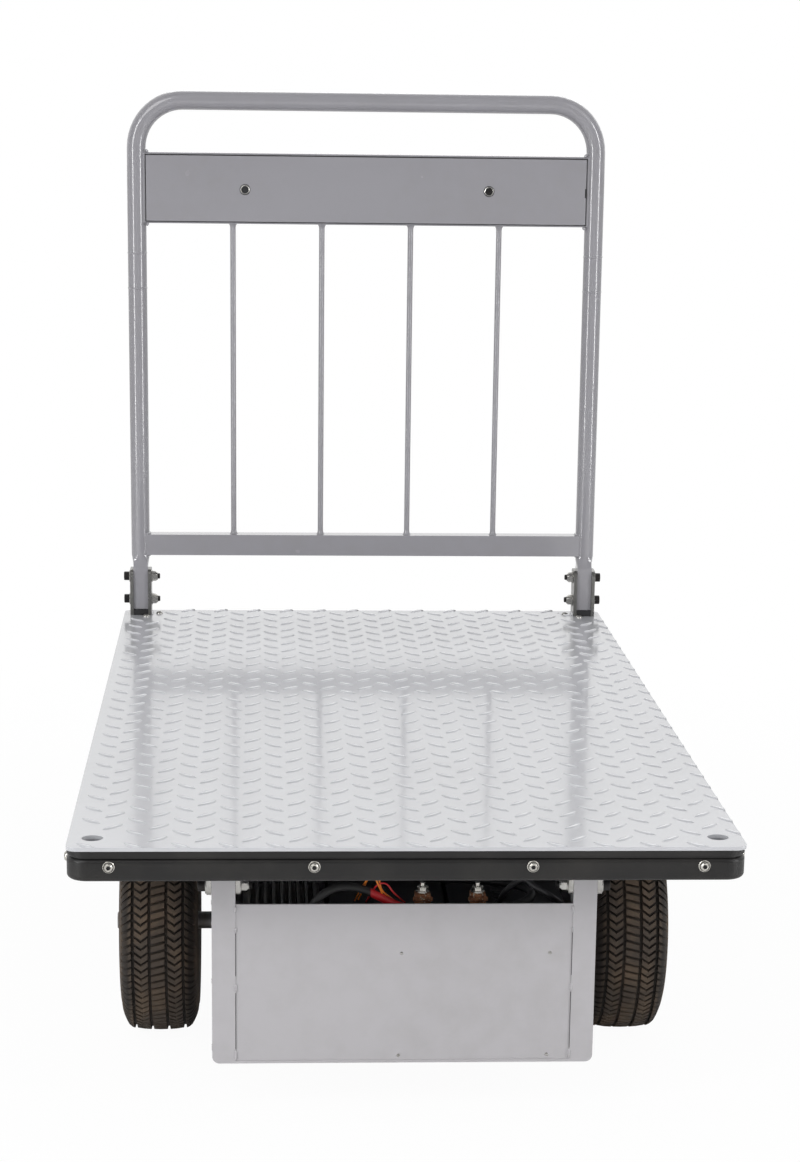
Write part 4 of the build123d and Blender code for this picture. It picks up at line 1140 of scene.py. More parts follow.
@dataclass
class Handle:
    """Push handle: welds, splices, panel cover and fasteners on the CAD's tube, rail and rods."""

    post_x: float = POST_X
    y: float = POST_Y
    tube_r: float = 13.5
    rod_r: float = 4.0
    rod_xs: tuple[float, ...] = (-192.6, -64.2, 64.2, 192.6)
    rod_flare: tuple[Pair, ...] = ((0, 2.6), (1.2, 1.5), (3.0, 0.5), (5.5, 0.05))
    rod_sink: float = 0.2
    rail: Pair = (404.5, 435.0)
    rail_depth: float = 25.0
    panel: Pair = (886.0, 985.5)
    panel_front: float = 622.0
    weld_sink: float = 0.4
    rail_lip_in: float = 7.6
    rail_corner_in: float = 1.2
    rail_bow: float = 5.0
    rail_bead_r: float = 2.4
    side_bead_r: float = 2.0
    panel_lip_in: float = 8.6
    panel_bead_back: float = 9.0
    tab_ins: Pair = (17.5, 12.5)
    tab_back: float = 1.6
    tab_rise: float = 2.2
    tab_start: float = 0.2
    tab_r: float = 2.6
    splices: tuple[float, ...] = (792.0, 842.0)
    splice_rim: tuple[Pair, ...] = ((0, -0.4), (0.6, 0.55), (2.6, 0.55), (3.4, -0.4))
    cover_lap: float = 1.0
    # A black sheet a little larger than the cover: painted shade in the gap round the cover.
    gap_shade: FrontPlate = FrontPlate(ends=0.0, front=-0.9, back=0.3, low=2.2, high=2.4, chamfer=0.2)
    sheet: FrontPlate = FrontPlate(ends=1.4, front=-2.1, back=-0.5, low=3.4, high=4.0, chamfer=0.5)
    fasteners: tuple[Pair, ...] = ((-175.0, 934.5), (176.0, 935.5))
    insert: tuple[Pair, ...] = ((0.1, 6.9), (1.3, 6.5), (1.6, 5.9), (1.5, 5.2), (0.4, 4.9))
    insert_shadow: tuple[Pair, ...] = ((0, 7.7), (0.25, 7.6))
    # A black disc in each insert's bore and a black box at the post: painted shade.
    bore_shade: tuple[Pair, ...] = ((0, 5.3), (0.9, 5.2))
    shadow_sink: float = 0.1
    cope_shade: Pair = (316.4, 934.0)
    cope_low: Point = (-1.5, -0.3, -6.5)
    cope_high: Point = (1.3, 0.6, 6.5)
    cope_chamfer: float = 1.3
    bolt_shift: Point = (0.5, -0.8, 0.3)
    bolt_r: float = 4.6
    bolt_height: float = 3.4

    def build(self, finishes: Finishes) -> None:
        """Make the handle's pieces and coat its nodes.

        Args:
            finishes: The cart's finishes.
        """
        finishes.coat_nodes("shaded_handle_paint", "handle_tube", "handle_panel", "lower_rail", "guard_rods")
        self.welds().piece("handle_welds", finishes, "shaded_handle_paint", CHASSIS, sharp=70.0)
        # Painted shade round the cover, then the cover itself.
        self.front_plate(self.gap_shade).piece("panel_gap_shade", finishes, "shade_black", CHASSIS)
        self.front_plate(self.sheet).piece("panel_cover", finishes, "shaded_handle_paint", CHASSIS)
        self.fastener_pieces(finishes)

    def welds(self) -> Draft:
        """Return the weld beads at the rods, rail, panel and tube splices.

        Returns:
            The mesh of all of them.
        """
        draft = Draft()
        flare = rounds(self.rod_flare, spare=self.rod_r)
        for x in self.rod_xs:
            draft.turned(flare, (x, self.y, self.rail[1] - self.rod_sink), UP, 16)
            draft.turned(flare, (x, self.y, self.panel[0] + self.rod_sink), DOWN, 16)
        for side in SIDES:
            self.add_rail_welds(draft, side)
            self.add_panel_welds(draft, side)
            for z in self.splices:
                rim = rounds(self.splice_rim, spare=self.tube_r)
                draft.turned(rim, (side * self.post_x, self.y, z), UP, 32)
        return draft

    def add_rail_welds(self, draft: Draft, side: int) -> None:
        """Add the beads round one end of the lower rail.

        Args:
            draft: The mesh to add to.
            side: -1 for the left side, 1 for the right.
        """
        inner = side * (self.post_x - self.tube_r + self.weld_sink)
        lip = side * (self.post_x - self.rail_lip_in)
        near = self.y - self.rail_depth / 2 + self.rail_corner_in
        far = self.y + self.rail_depth / 2 - self.rail_corner_in
        for z in self.rail:
            bow = [(inner, self.y - self.rail_bow, z), (inner, self.y + self.rail_bow, z)]
            draft.weld([(lip, near, z), *bow, (lip, far, z)], self.rail_bead_r)
        for y in (near, far):
            draft.weld([(lip, y, z) for z in self.rail], self.side_bead_r)

    def add_panel_welds(self, draft: Draft, side: int) -> None:
        """Add the beads and weld tabs at one end of the panel.

        Args:
            draft: The mesh to add to.
            side: -1 for the left side, 1 for the right.
        """
        inner = side * (self.post_x - self.tube_r + self.weld_sink)
        lip = side * (self.post_x - self.panel_lip_in)
        tab_y = self.panel_front + self.tab_back
        for z, way in zip(self.panel, (-1, 1)):
            start = (lip, self.panel_front + self.weld_sink, z)
            draft.weld([start, (inner, self.panel_front + self.panel_bead_back, z)], self.side_bead_r)
            first, last = (side * (self.post_x - tab_in) for tab_in in self.tab_ins)
            rise = way * self.tab_rise
            draft.weld([(first, tab_y, z + self.tab_start * rise), (last, tab_y, z + rise)], self.tab_r)

    def front_plate(self, plate: FrontPlate) -> Draft:
        """Return a flat piece that lies on the panel's front.

        Args:
            plate: The distances of the piece.

        Returns:
            The mesh.
        """
        half = self.post_x - self.tube_r + self.cover_lap
        draft = Draft()
        draft.box(
            (-half + plate.ends, self.panel_front + plate.front, self.panel[0] + plate.low),
            (half - plate.ends, self.panel_front + plate.back, self.panel[1] - plate.high),
            plate.chamfer,
        )
        return draft

    def fastener_pieces(self, finishes: Finishes) -> None:
        """Make the two inserts in the cover, the right one with its bolt, and painted shade in the inserts'
        bores and in the gap at the post.

        Args:
            finishes: The cart's finishes.
        """
        inserts, holes, bolt = Draft(), Draft(), Draft()
        face = self.panel_front + self.sheet.front
        for x, z in self.fasteners:
            inserts.turned(rounds(self.insert), (x, face, z), NEAR, 32)
            holes.turned(rounds(self.insert_shadow), (x, face + self.shadow_sink, z), NEAR, 32)
            holes.turned(rounds(self.bore_shade), (x, face, z), NEAR, 32)
        # Painted shade in the gap between the panel and the post.
        gap = (self.cope_shade[0], face, self.cope_shade[1])
        low, high = (beyond(gap, corner) for corner in (self.cope_low, self.cope_high))
        holes.box(low, high, self.cope_chamfer)
        bolt_x, bolt_z = self.fasteners[1]
        at = beyond((bolt_x, face, bolt_z), self.bolt_shift)
        socket_head(bolt, at, NEAR, self.bolt_r, self.bolt_height)
        inserts.piece("panel_inserts", finishes, "zinc", CHASSIS)
        holes.piece("panel_hole_shades", finishes, "shade_black", CHASSIS)
        bolt.piece("panel_bolt", finishes, "bolts", CHASSIS)


@dataclass
class CrossBolts:
    """Bolts across a clevis: black socket head outside, zinc washers and lock nut, black tip."""

    name: str
    node: str
    centres: tuple[Point, ...]
    half_grip: float
    washer_r: float = 9.0
    washer_thick: float = 1.6
    head_r: float = 6.5
    head_height: float = 8.0
    nut_r: float = 7.5
    nut_height: float = 6.0
    collar: tuple[Pair, ...] = ((0, 5.9), (1.6, 5.6), (2.0, 4.6))
    shank_r: float = 4.0
    tip: tuple[Pair, ...] = ((0, 4.0), (2.4, 4.0), (3.0, 3.3))

    def build(self, finishes: Finishes) -> None:
        """Make the bolts, which stand for the CAD's plain ones.

        Args:
            finishes: The cart's finishes.
        """
        black, zinc = Draft(), Draft()
        for x, y, z in self.centres:
            out = (1, 0, 0) if x > 0 else (-1, 0, 0)
            back = (-out[0], 0, 0)
            outer = beyond((x, y, z), out, self.half_grip)
            inner = beyond((x, y, z), back, self.half_grip)
            washer(zinc, outer, out, self.washer_r, self.washer_thick)
            washer(zinc, inner, back, self.washer_r, self.washer_thick)
            socket_head(black, beyond(outer, out, self.washer_thick), out, self.head_r, self.head_height)
            seat = beyond(inner, back, self.washer_thick)
            hex_head(zinc, seat, back, self.nut_r, self.nut_height)
            zinc.turned(rounds(self.collar), beyond(seat, back, self.nut_height), back)
            nut_end = self.nut_height + self.collar[-1][0]
            black.turned(rounds(self.tip), beyond(seat, back, nut_end), back)
            black.turned(rounds(((0, self.shank_r), (2 * self.half_grip, self.shank_r))), inner, out)
        heads = black.piece(f"{self.name}_heads", finishes, "bolts", CHASSIS)
        nuts = zinc.piece(f"{self.name}_nuts", finishes, "zinc", CHASSIS)
        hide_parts(self.node)
        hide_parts(self.node)


@dataclass
class Sockets:
    """The two clevis sockets of the posts, with their cross bolts, black pads partly painted shade, and deck
    screws.
    """

    post_x: float = POST_X
    y: float = POST_Y
    deck_top: float = DECK_TOP
    bolt_zs: Pair = (337.0, 371.0)
    bolt_half_grip: float = 15.6
    # Black pads: the first sits between the socket and the post's end; the second covers the socket floor's
    # front face, painted shade.
    pads_and_shade: tuple[tuple[Point, Point, float], ...] = (
        ((-10.7, -14.6, 4.9), (10.7, 14.2, 8.7), 0.5),
        ((-10.6, -18.7, 0.2), (10.6, -14.1, 8.4), 0.4),
    )
    screws: tuple[Pair, ...] = ((8.0, 27.0), (27.0, 4.0))
    screw_r: float = 5.0
    screw_height: float = 3.0
    weld_in: float = 15.8
    weld_half: float = 15.0
    weld_lift: float = 0.5
    weld_r: float = 1.9

    def build(self, finishes: Finishes) -> None:
        """Make the bolts and screws, and coat the sockets.

        Args:
            finishes: The cart's finishes.
        """
        finishes.coat_nodes("shaded_socket_zinc", "handle_socket_left", "handle_socket_right")
        centres = tuple((side * self.post_x, self.y, z) for side in SIDES for z in self.bolt_zs)
        CrossBolts("socket_bolt", "socket_bolts", centres, self.bolt_half_grip).build(finishes)
        draft, welds, pads_and_shade = Draft(), Draft(), Draft()
        for side in SIDES:
            foot = (side * self.post_x, self.y, self.deck_top)
            for low, high, chamfer in self.pads_and_shade:
                pads_and_shade.box(beyond(foot, low), beyond(foot, high), chamfer)
            for inward, ahead in self.screws:
                at = (side * (self.post_x - inward), self.y - ahead, self.deck_top)
                socket_head(draft, at, UP, self.screw_r, self.screw_height, domed=True)
            edge, z = side * (self.post_x - self.weld_in), self.deck_top + self.weld_lift
            welds.weld([(edge, self.y - self.weld_half, z), (edge, self.y + self.weld_half, z)], self.weld_r)
        draft.piece("deck_screws", finishes, "zinc", CHASSIS)
        pads_and_shade.piece("post_pads_and_shade", finishes, "shade_black", CHASSIS)
        welds.piece("socket_welds", finishes, "deck_paint", CHASSIS, sharp=70.0)


@dataclass
class Controls:
    """Control unit on the operator's side of the panel: knob, key switch and rocker.

    The knob's profile is distance from the face, radius and depth of its flutes.
    """

    face_y: float = 645.5
    mid_z: float = 935.75
    knob_x: float = 110.0
    knob_profile: tuple[Triple, ...] = (
        (0, 13.9, 0.0), (0.8, 13.8, 0.6), (6.8, 12.9, 0.7), (8.3, 12.3, 0.4), (9.0, 10.6, 0.0),
    )
    flutes: int = 18
    flute_steps: int = 6
    pointer_low: Point = (-1.0, 8.2, 0.0)
    pointer_high: Point = (1.0, 9.8, 10.5)
    pointer_chamfer: float = 0.3
    key_x: float = -110.0
    key_nut: tuple[Pair, ...] = ((0, 12.0), (2.2, 12.0))
    key_collar: tuple[Pair, ...] = ((2.8, 10.6), (2.8, 9.3), (0.5, 9.2))
    key_barrel: tuple[Pair, ...] = ((0, 7.0), (1.0, 7.0), (1.4, 6.4), (1.4, 5.2), (0.7, 4.8))
    barrel_out: float = 6.0
    bezel: Pair = (20.5, 14.5)
    bezel_gap: Pair = (17.2, 11.2)
    bezel_sink: float = 0.3
    bezel_out: float = 2.0
    unit_screws: Pair = (188.0, 38.0)
    screw_sink: float = 1.6
    screw_r: float = 3.2
    screw_height: float = 3.0

    def build(self, finishes: Finishes) -> None:
        """Make the controls and coat the unit.

        Args:
            finishes: The cart's finishes.
        """
        finishes.coat_nodes("black_plastic", "control_unit")
        finishes.coat_nodes("red_plastic", "rocker_switch")
        knob = self.knob().piece("speed_knob_fluted", finishes, "black_plastic", CHASSIS, sharp=60.0)
        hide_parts("speed_knob")
        self.key().piece("key_switch", finishes, "zinc", CHASSIS)
        self.trim().piece("control_trim", finishes, "bolts", CHASSIS)

    def trim(self) -> Draft:
        """Return the bezel round the rocker and the unit's four screws.

        Returns:
            The mesh of both.
        """
        draft = Draft()
        (wide, tall), (gap_x, gap_z) = self.bezel, self.bezel_gap
        bars = (
            (-wide, -gap_x, -tall, tall), (gap_x, wide, -tall, tall),
            (-wide, wide, gap_z, tall), (-wide, wide, -tall, -gap_z),
        )
        near, far = self.face_y - self.bezel_sink, self.face_y + self.bezel_out
        for left, right, low, high in bars:
            draft.box((left, near, self.mid_z + low), (right, far, self.mid_z + high))
        for side in SIDES:
            for way in (-1, 1):
                x, z = side * self.unit_screws[0], self.mid_z + way * self.unit_screws[1]
                at = (x, self.face_y - self.screw_sink, z)
                socket_head(draft, at, FAR, self.screw_r, self.screw_height, domed=True)
        return draft

    def knob(self) -> Draft:
        """Return the fluted knob, with a raised pointer.

        Returns:
            The mesh.
        """
        draft = Draft()
        rows = []
        steps = self.flutes * self.flute_steps
        for along, radius, flute in self.knob_profile:
            row = []
            for step in range(steps):
                angle = 2 * math.pi * step / steps
                reach = radius - flute * (1 + math.cos(self.flutes * angle)) / 2
                x, z = self.knob_x + reach * math.cos(angle), self.mid_z + reach * math.sin(angle)
                row.append(Vector((x, self.face_y + along, z)))
            rows.append(row)
        draft.grid(rows)
        middle = (self.knob_x, self.face_y, self.mid_z)
        low, high = beyond(middle, self.pointer_low), beyond(middle, self.pointer_high)
        draft.box(low, high, self.pointer_chamfer)
        return draft

    def key(self) -> Draft:
        """Return the key switch's ring nut and barrel, with a round recess in the barrel's face.

        Returns:
            The mesh.
        """
        draft = Draft()
        nut = [(along, radius, Form.HEX) for along, radius in self.key_nut]
        draft.turned(nut + rounds(self.key_collar), (self.key_x, self.face_y, self.mid_z), FAR)
        draft.turned(rounds(self.key_barrel), (self.key_x, self.face_y + self.barrel_out, self.mid_z), FAR)
        return draft


@dataclass
class BatteryBox:
    """Battery box: stitch welds, painted shade in the unwelded seams, small rivets and the clevis bolts that
    hang it.
    """

    half_width: float = 206.0
    leg: float = 25.4
    front: float = -596.0
    back: float = -391.0
    setback: float = 0.8
    stitches: tuple[Pair, ...] = ((72.0, 136.0), (155.0, 203.0))
    seam_half: Pair = (0.28, 0.3)
    seam_sink: float = 0.1
    seam_chamfer: float = 0.1
    beads: tuple[Pair, ...] = ((60.0, 71.0), (137.0, 146.0), (204.0, 209.0), (226.0, 234.0))
    bead_sinks: Pair = (0.4, 0.6)
    bead_r: float = 1.5
    rivets: tuple[Pair, ...] = ((-3.0, 180.0), (157.0, 180.0), (-5.0, 64.0), (156.0, 64.5))
    rivet: tuple[Pair, ...] = ((0, 1.9), (0.5, 1.7), (0.9, 1.0))
    leg_x: float = 193.3
    leg_ys: Pair = (-583.3, -403.7)
    bolt_z: float = 253.0
    bolt_half_grip: float = 18.0

    def build(self, finishes: Finishes) -> None:
        """Make the box's pieces and coat its nodes.

        Args:
            finishes: The cart's finishes.
        """
        finishes.coat_nodes("box_paint", "battery_box")
        finishes.coat_nodes("zinc", "box_hangers")
        centres = tuple((side * self.leg_x, y, self.bolt_z) for side in SIDES for y in self.leg_ys)
        CrossBolts("hanger_bolt", "hanger_bolts", centres, self.bolt_half_grip).build(finishes)
        welds, rivets, cracks = Draft(), Draft(), Draft()
        for side in SIDES:
            self.add_seams(cracks, side)
            self.add_beads(welds, side)
        for x, z in self.rivets:
            rivets.turned(rounds(self.rivet), (x, self.front + self.setback, z), NEAR, 16)
        welds.piece("box_welds", finishes, "box_paint", CHASSIS, sharp=70.0)
        rivets.piece("box_rivets", finishes, "zinc", CHASSIS)
        cracks.piece("box_seam_shade", finishes, "shade_black", CHASSIS)

    def add_seams(self, draft: Draft, side: int) -> None:
        """Add black strips of painted shade in the unwelded seams between the plates and the legs of one
        side.

        Args:
            draft: The mesh to add to.
            side: -1 for the left side, 1 for the right.
        """
        x = side * (self.half_width - self.leg)
        half_x, half_y = self.seam_half
        for low, high in self.stitches:
            for y in (self.front + self.seam_sink, self.back - self.seam_sink):
                # Painted shade in the unwelded cracks.
                draft.box((x - half_x, y - half_y, low), (x + half_x, y + half_y, high), self.seam_chamfer)

    def add_beads(self, draft: Draft, side: int) -> None:
        """Add the weld beads between the plates and the legs of one side.

        Args:
            draft: The mesh to add to.
            side: -1 for the left side, 1 for the right.
        """
        end_sink, side_sink = self.bead_sinks
        joint, flank = side * (self.half_width - self.leg), side * (self.half_width - side_sink)
        places = (
            (joint, self.front + end_sink), (joint, self.back - end_sink),
            (flank, self.front + self.leg), (flank, self.back - self.leg),
        )
        for low, high in self.beads:
            for x, y in places:
                draft.weld([(x, y, low), (x, y, high)], self.bead_r)


@dataclass
class BatteryBay:
    """What shows in the open top of the box: batteries, terminals, controller and thin wires."""

    lid_top: float = 216.0
    batteries_x: Pair = (-15.9, 115.5)
    mid_y: float = -493.5
    caps: int = 6
    cap_pitch: float = 23.0
    cap_shift: float = 6.0
    cap: tuple[Pair, ...] = ((-0.2, 8.6), (0.8, 8.4), (1.2, 7.4), (0.9, 6.6))
    terminal_xs: Pair = (20.1, 79.5)
    terminal_ys: Pair = (-571.0, -416.0)
    terminal_top: float = 228.0
    lug_heights: Pair = (14.0, 3.0)
    lug_sink: float = 0.2
    lug_half: Pair = (8.5, 7.5)
    lug_chamfer: float = 1.2
    strap_half: float = 10.5
    strap_ahead: Pair = (8.5, 5.5)
    strap_shares: Pair = (0.35, 0.75)
    strap_chamfer: float = 0.8
    top_washer_r: float = 7.4
    top_nut: Pair = (6.3, 5.0)
    stud: tuple[Pair, ...] = ((0, 2.9), (4.0, 2.9), (4.6, 2.2))
    stud_lift: float = 6.2
    front_bolt_ahead: float = 11.4
    front_bolt_drop: float = 6.0
    front_washer_r: float = 6.6
    front_washer_thick: float = 1.2
    front_nut: Pair = (5.2, 3.4)
    thin_wire_r: float = 0.95
    black_wire_r: float = 3.2
    wire_sides: int = 10

    def build(self, finishes: Finishes) -> None:
        """Make the bay's pieces and coat its nodes.

        Args:
            finishes: The cart's finishes.
        """
        finishes.coat_nodes("battery_case", "battery_left", "battery_right")
        finishes.coat_nodes("terminal_brass", "battery_terminals")
        finishes.coat_nodes("controller_metal", "motor_controller")
        finishes.coat_nodes("sleeved_cable", "battery_lead_positive")
        finishes.coat_nodes("black_cable", "battery_lead_link", "battery_lead_negative")
        caps, zinc, lugs = Draft(), Draft(), Draft()
        for x in self.batteries_x:
            for step in range(self.caps):
                y = self.mid_y + (step - (self.caps - 1) / 2) * self.cap_pitch
                caps.turned(rounds(self.cap), (x - self.cap_shift, y, self.lid_top), UP)
        for x in self.terminal_xs:
            for y, rise in zip(self.terminal_ys, self.lug_heights):
                self.add_terminal(zinc, lugs, x, y, rise)
        caps.piece("battery_caps", finishes, "black_plastic", CHASSIS)
        zinc.piece("terminal_bolts", finishes, "bright_zinc", CHASSIS)
        lugs.piece("terminal_lugs", finishes, "copper", CHASSIS)
        self.wires(finishes)

    def add_terminal(self, zinc: Draft, lugs: Draft, x: float, y: float, rise: float) -> None:
        """Add the lug on one terminal, with the stud and nut on it and the nut in front.

        Args:
            zinc: The mesh of studs, washers and nuts.
            lugs: The mesh of lugs.
            x: The terminal's place across the cart.
            y: Its place along the cart.
            rise: Height of the lug.
        """
        base = self.terminal_top - self.lug_sink
        half_x, half_y = self.lug_half
        lugs.box((x - half_x, y - half_y, base), (x + half_x, y + half_y, base + rise), self.lug_chamfer)
        near, far = (y - ahead for ahead in self.strap_ahead)
        low, high = (base + rise * share for share in self.strap_shares)
        lugs.box((x - self.strap_half, near, low), (x + self.strap_half, far, high), self.strap_chamfer)
        top = base + rise
        washer_and_head(zinc, (x, y, top), UP, self.top_washer_r, self.top_nut)
        zinc.turned(rounds(self.stud), (x, y, top + self.stud_lift), UP, 16)
        seat = (x, y - self.front_bolt_ahead, self.terminal_top - self.front_bolt_drop)
        washer_and_head(zinc, seat, NEAR, self.front_washer_r, self.front_nut, self.front_washer_thick)

    def wires(self, finishes: Finishes) -> None:
        """Make the thin wires between the controller and the batteries, held at both ends.

        Args:
            finishes: The cart's finishes.
        """
        runs = {
            "orange": (
                (
                    (-52, -552, 226), (-44, -574, 250), (-34, -582, 262),
                    (-27, -580, 250), (-22, -572, 236), (-18, -560, 224),
                ),
                (
                    (-48, -548, 226), (-38, -570, 256), (-29, -580, 264),
                    (-24, -578, 246), (-12, -566, 232), (-2, -556, 222),
                ),
            ),
            "red": (
                (
                    (-40, -556, 226), (-30, -578, 250), (-20, -582, 254),
                    (-12, -580, 244), (-4, -570, 234), (2, -560, 226),
                ),
            ),
            "black": (
                (
                    (174, -560, 222), (158, -576, 238), (140, -580, 250),
                    (128, -574, 256), (112, -560, 240), (104, -552, 222),
                ),
            ),
        }
        for colour, paths in runs.items():
            draft = Draft()
            thick = self.black_wire_r if colour == "black" else self.thin_wire_r
            for path in paths:
                draft.swept(curve_through(path), lambda run, size=thick: size, self.wire_sides)
            draft.piece(f"bay_wires_{colour}", finishes, f"{colour}_cable", CHASSIS, sharp=80.0)


@dataclass
class DriveAxle:
    """Transaxle, motor, brake and brackets, with their bolts and the motor's bands."""

    axle_y: float = AXLE_Y
    axle_z: float = AXLE_Z
    flange_x: float = 186.0
    flange_bolts: int = 5
    flange_circle: float = 29.7
    flange_head: Pair = (3.9, 3.4)
    bracket_x: float = 150.0
    bracket_under: float = 270.0
    bracket_bolts: Pair = (20.0, 48.0)
    bracket_washer_r: float = 8.6
    bracket_head: Pair = (7.0, 5.0)
    motor_flange_y: float = -220.0
    motor_bolts: int = 8
    motor_circle: float = 49.0
    motor_head: Pair = (2.9, 2.8)
    brake_end_y: float = -36.1
    brake_circle: float = 30.0
    brake_head: Pair = (3.4, 3.0)
    band_ys: Pair = (-118.0, -92.0)
    band: tuple[Pair, ...] = ((0, 45.6), (0.5, 46.9), (5.5, 46.9), (6.0, 45.6))
    band_sides: int = 64

    def build(self, finishes: Finishes) -> None:
        """Make the axle's pieces and coat its nodes.

        Args:
            finishes: The cart's finishes.
        """
        finishes.coat_nodes("drive_housing", "transaxle", "drive_motor", "parking_brake")
        finishes.coat_nodes("frame_paint", "axle_bracket_left", "axle_bracket_right")
        bolts, band = Draft(), Draft()
        for side in SIDES:
            self.add_side_bolts(bolts, side)
        self.add_motor_bolts(bolts)
        for y in self.band_ys:
            band.turned(rounds(self.band), (0, y, self.axle_z), FAR, self.band_sides)
        bolts.piece("axle_bolts", finishes, "zinc", CHASSIS)
        band.piece("motor_bands", finishes, "zinc", CHASSIS)

    def add_side_bolts(self, draft: Draft, side: int) -> None:
        """Add the bolts of one axle flange and of the bracket on that side.

        Args:
            draft: The mesh to add to.
            side: -1 for the left side, 1 for the right.
        """
        for y, z in ring_places(self.flange_bolts, self.flange_circle):
            at = (side * self.flange_x, self.axle_y + y, self.axle_z + z)
            hex_head(draft, at, (-side, 0, 0), *self.flange_head)
        step_x, step_y = self.bracket_bolts
        for x in (-step_x, step_x):
            for y in (-step_y, step_y):
                at = (side * self.bracket_x + x, self.axle_y + y, self.bracket_under)
                washer_and_head(draft, at, DOWN, self.bracket_washer_r, self.bracket_head)

    def add_motor_bolts(self, draft: Draft) -> None:
        """Add the bolts of the motor's flange, and half as many screws in the brake's end.

        Args:
            draft: The mesh to add to.
        """
        flange = ring_places(self.motor_bolts, self.motor_circle)
        brake = ring_places(self.motor_bolts, self.brake_circle)
        for step, ((x, z), (brake_x, brake_z)) in enumerate(zip(flange, brake)):
            hex_head(draft, (x, self.motor_flange_y, self.axle_z + z), FAR, *self.motor_head)
            if step % 2:
                socket_head(draft, (brake_x, self.brake_end_y, self.axle_z + brake_z), FAR, *self.brake_head)


@dataclass
class DriveWheel:
    """Drive wheel with a turf tyre: five ribs, four grooves, and cross cuts straight or in chevrons.

    The section is given from the middle out, each place by its distance across and its radius. Shoulder
    places have a share of the cross cuts' depth besides, and the last cut has its depth.
    """

    side: int
    word: str
    mid_x: float = 270.0
    axle_y: float = AXLE_Y
    axle_z: float = AXLE_Z
    radius: float = TYRE_R
    cuts: int = 86
    cut_depth: float = 3.4
    cut_steps: tuple[Pair, ...] = ((0.0, 0.0), (0.31, 0.0), (0.62, 0.0), (0.70, 1.0), (0.92, 1.0))
    grooves: tuple[float, ...] = (-28.5, -9.5, 9.5, 28.5)
    groove_depth: float = 3.8
    groove_halves: Pair = (1.9, 1.2)
    crown_drop: float = 2.6
    crown_half: float = 32.5
    rib: Pair = (19.0, 127.2)
    shoulder: tuple[Triple, ...] = ((33.2, 124.8, 1.0), (36.6, 122.0, 0.9), (38.9, 118.0, 0.8))
    last_cut: Triple = (41.4, 112.6, 1.6)
    sidewall: tuple[Pair, ...] = (
        (42.0, 111.2), (43.5, 106.0), (44.4, 98.0), (44.9, 97.4), (44.9, 95.6), (44.4, 95.0),
        (44.3, 86.0), (42.9, 78.0), (39.2, 69.0), (35.8, 65.5),
    )
    bead: tuple[Pair, ...] = ((35.2, 63.6), (33.9, 62.0), (33.9, 51.1), (26.9, 51.1))
    lining: tuple[Pair, ...] = ((37.5, 88.0), (36.5, 100.0), (31.5, 112.0))
    lining_r: float = 116.0
    rib_slants: Triple = (0.28, 0.75, 0.9)
    slant_end: float = 41.0
    face_out: float = 9.0
    bolts: int = 4
    bolt_circle: float = 33.0
    bolt_washer_r: float = 8.0
    bolt_head: Pair = (6.9, 5.2)
    valve: Pair = (28.0, -34.0)
    stem: tuple[Pair, ...] = ((0, 4.2), (5, 3.4), (14, 2.7), (14, 3.3), (21, 3.2), (22, 2.4))

    def build(self, finishes: Finishes) -> None:
        """Make the tyre, the wheel bolts and the valve, and coat the rim and shaft.

        Args:
            finishes: The cart's finishes.
        """
        body = f"drive_wheel_{self.word}"
        finishes.coat_nodes("rim_paint", f"drive_rim_{self.word}")
        finishes.coat_nodes("shaft_steel", f"drive_shaft_{self.word}")
        tyre = self.tyre().piece(f"turf_tyre_{self.word}", finishes, "tyre_rubber", body, sharp=34.0)
        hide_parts(f"drive_tyre_{self.word}")
        bolts, valve = Draft(), Draft()
        face = self.side * (self.mid_x + self.face_out)
        out = (self.side, 0, 0)
        for y, z in ring_places(self.bolts, self.bolt_circle, turn=0.0):
            at = (face, self.axle_y + y, self.axle_z + z)
            washer_and_head(bolts, at, out, self.bolt_washer_r, self.bolt_head)
        bolts.piece(f"wheel_bolts_{self.word}", finishes, "zinc", body)
        foot = (face, self.axle_y + self.valve[0], self.axle_z + self.valve[1])
        valve.turned(rounds(self.stem), foot, out, 16)
        valve.piece(f"valve_stem_{self.word}", finishes, "black_plastic", body)

    def half_section(self) -> list[Triple]:
        """Return one half of the tyre's section: place across, radius and depth of the cross cuts.

        Returns:
            The places, from the middle of the tread out and round to the inside.
        """
        half = [(0.0, self.radius, self.cut_depth)]
        lip, floor = self.groove_halves
        for groove in self.grooves[2:]:
            crown = self.radius - self.crown_drop * (groove / self.crown_half) ** 2
            half += [
                (groove - lip, crown, self.cut_depth),
                (groove - floor, crown - self.groove_depth, 0.0),
                (groove + floor, crown - self.groove_depth, 0.0),
                (groove + lip, crown, self.cut_depth),
            ]
            if groove == self.grooves[2]:
                half.append((*self.rib, self.cut_depth))
        half += [(x, radius, self.cut_depth * share) for x, radius, share in self.shoulder]
        half.append(self.last_cut)
        half += [(x, radius, 0.0) for x, radius in (*self.sidewall, *self.bead, *self.lining)]
        return half

    def slant(self, x: float) -> float:
        """Return how far the cross cuts are turned at that place across, in pitches.

        Args:
            x: Place across the tyre, from its middle.

        Returns:
            The turn.
        """
        inner, outer = self.grooves[2:]
        middle, chevron, edge = self.rib_slants
        if abs(x) < inner:
            return middle * x / inner
        if abs(x) < outer:
            return chevron - chevron * abs(2 * (abs(x) - inner) / (outer - inner) - 1)
        return edge * (min(abs(x), self.slant_end) - outer) / (self.slant_end - outer)

    def columns(self) -> list[tuple[float, float, float, float]]:
        """Return the tyre's columns from one bead over the tread and back inside.

        Returns:
            Place across, radius, depth of the cross cuts, and their turn in pitches.
        """
        half = self.half_section()
        right = [(x, radius, cut, self.slant(x)) for x, radius, cut in half]
        left = [(-x, radius, cut, self.slant(-x)) for x, radius, cut in reversed(half[1:])]
        return [*left, *right, (0.0, self.lining_r, 0.0, 0.0)]

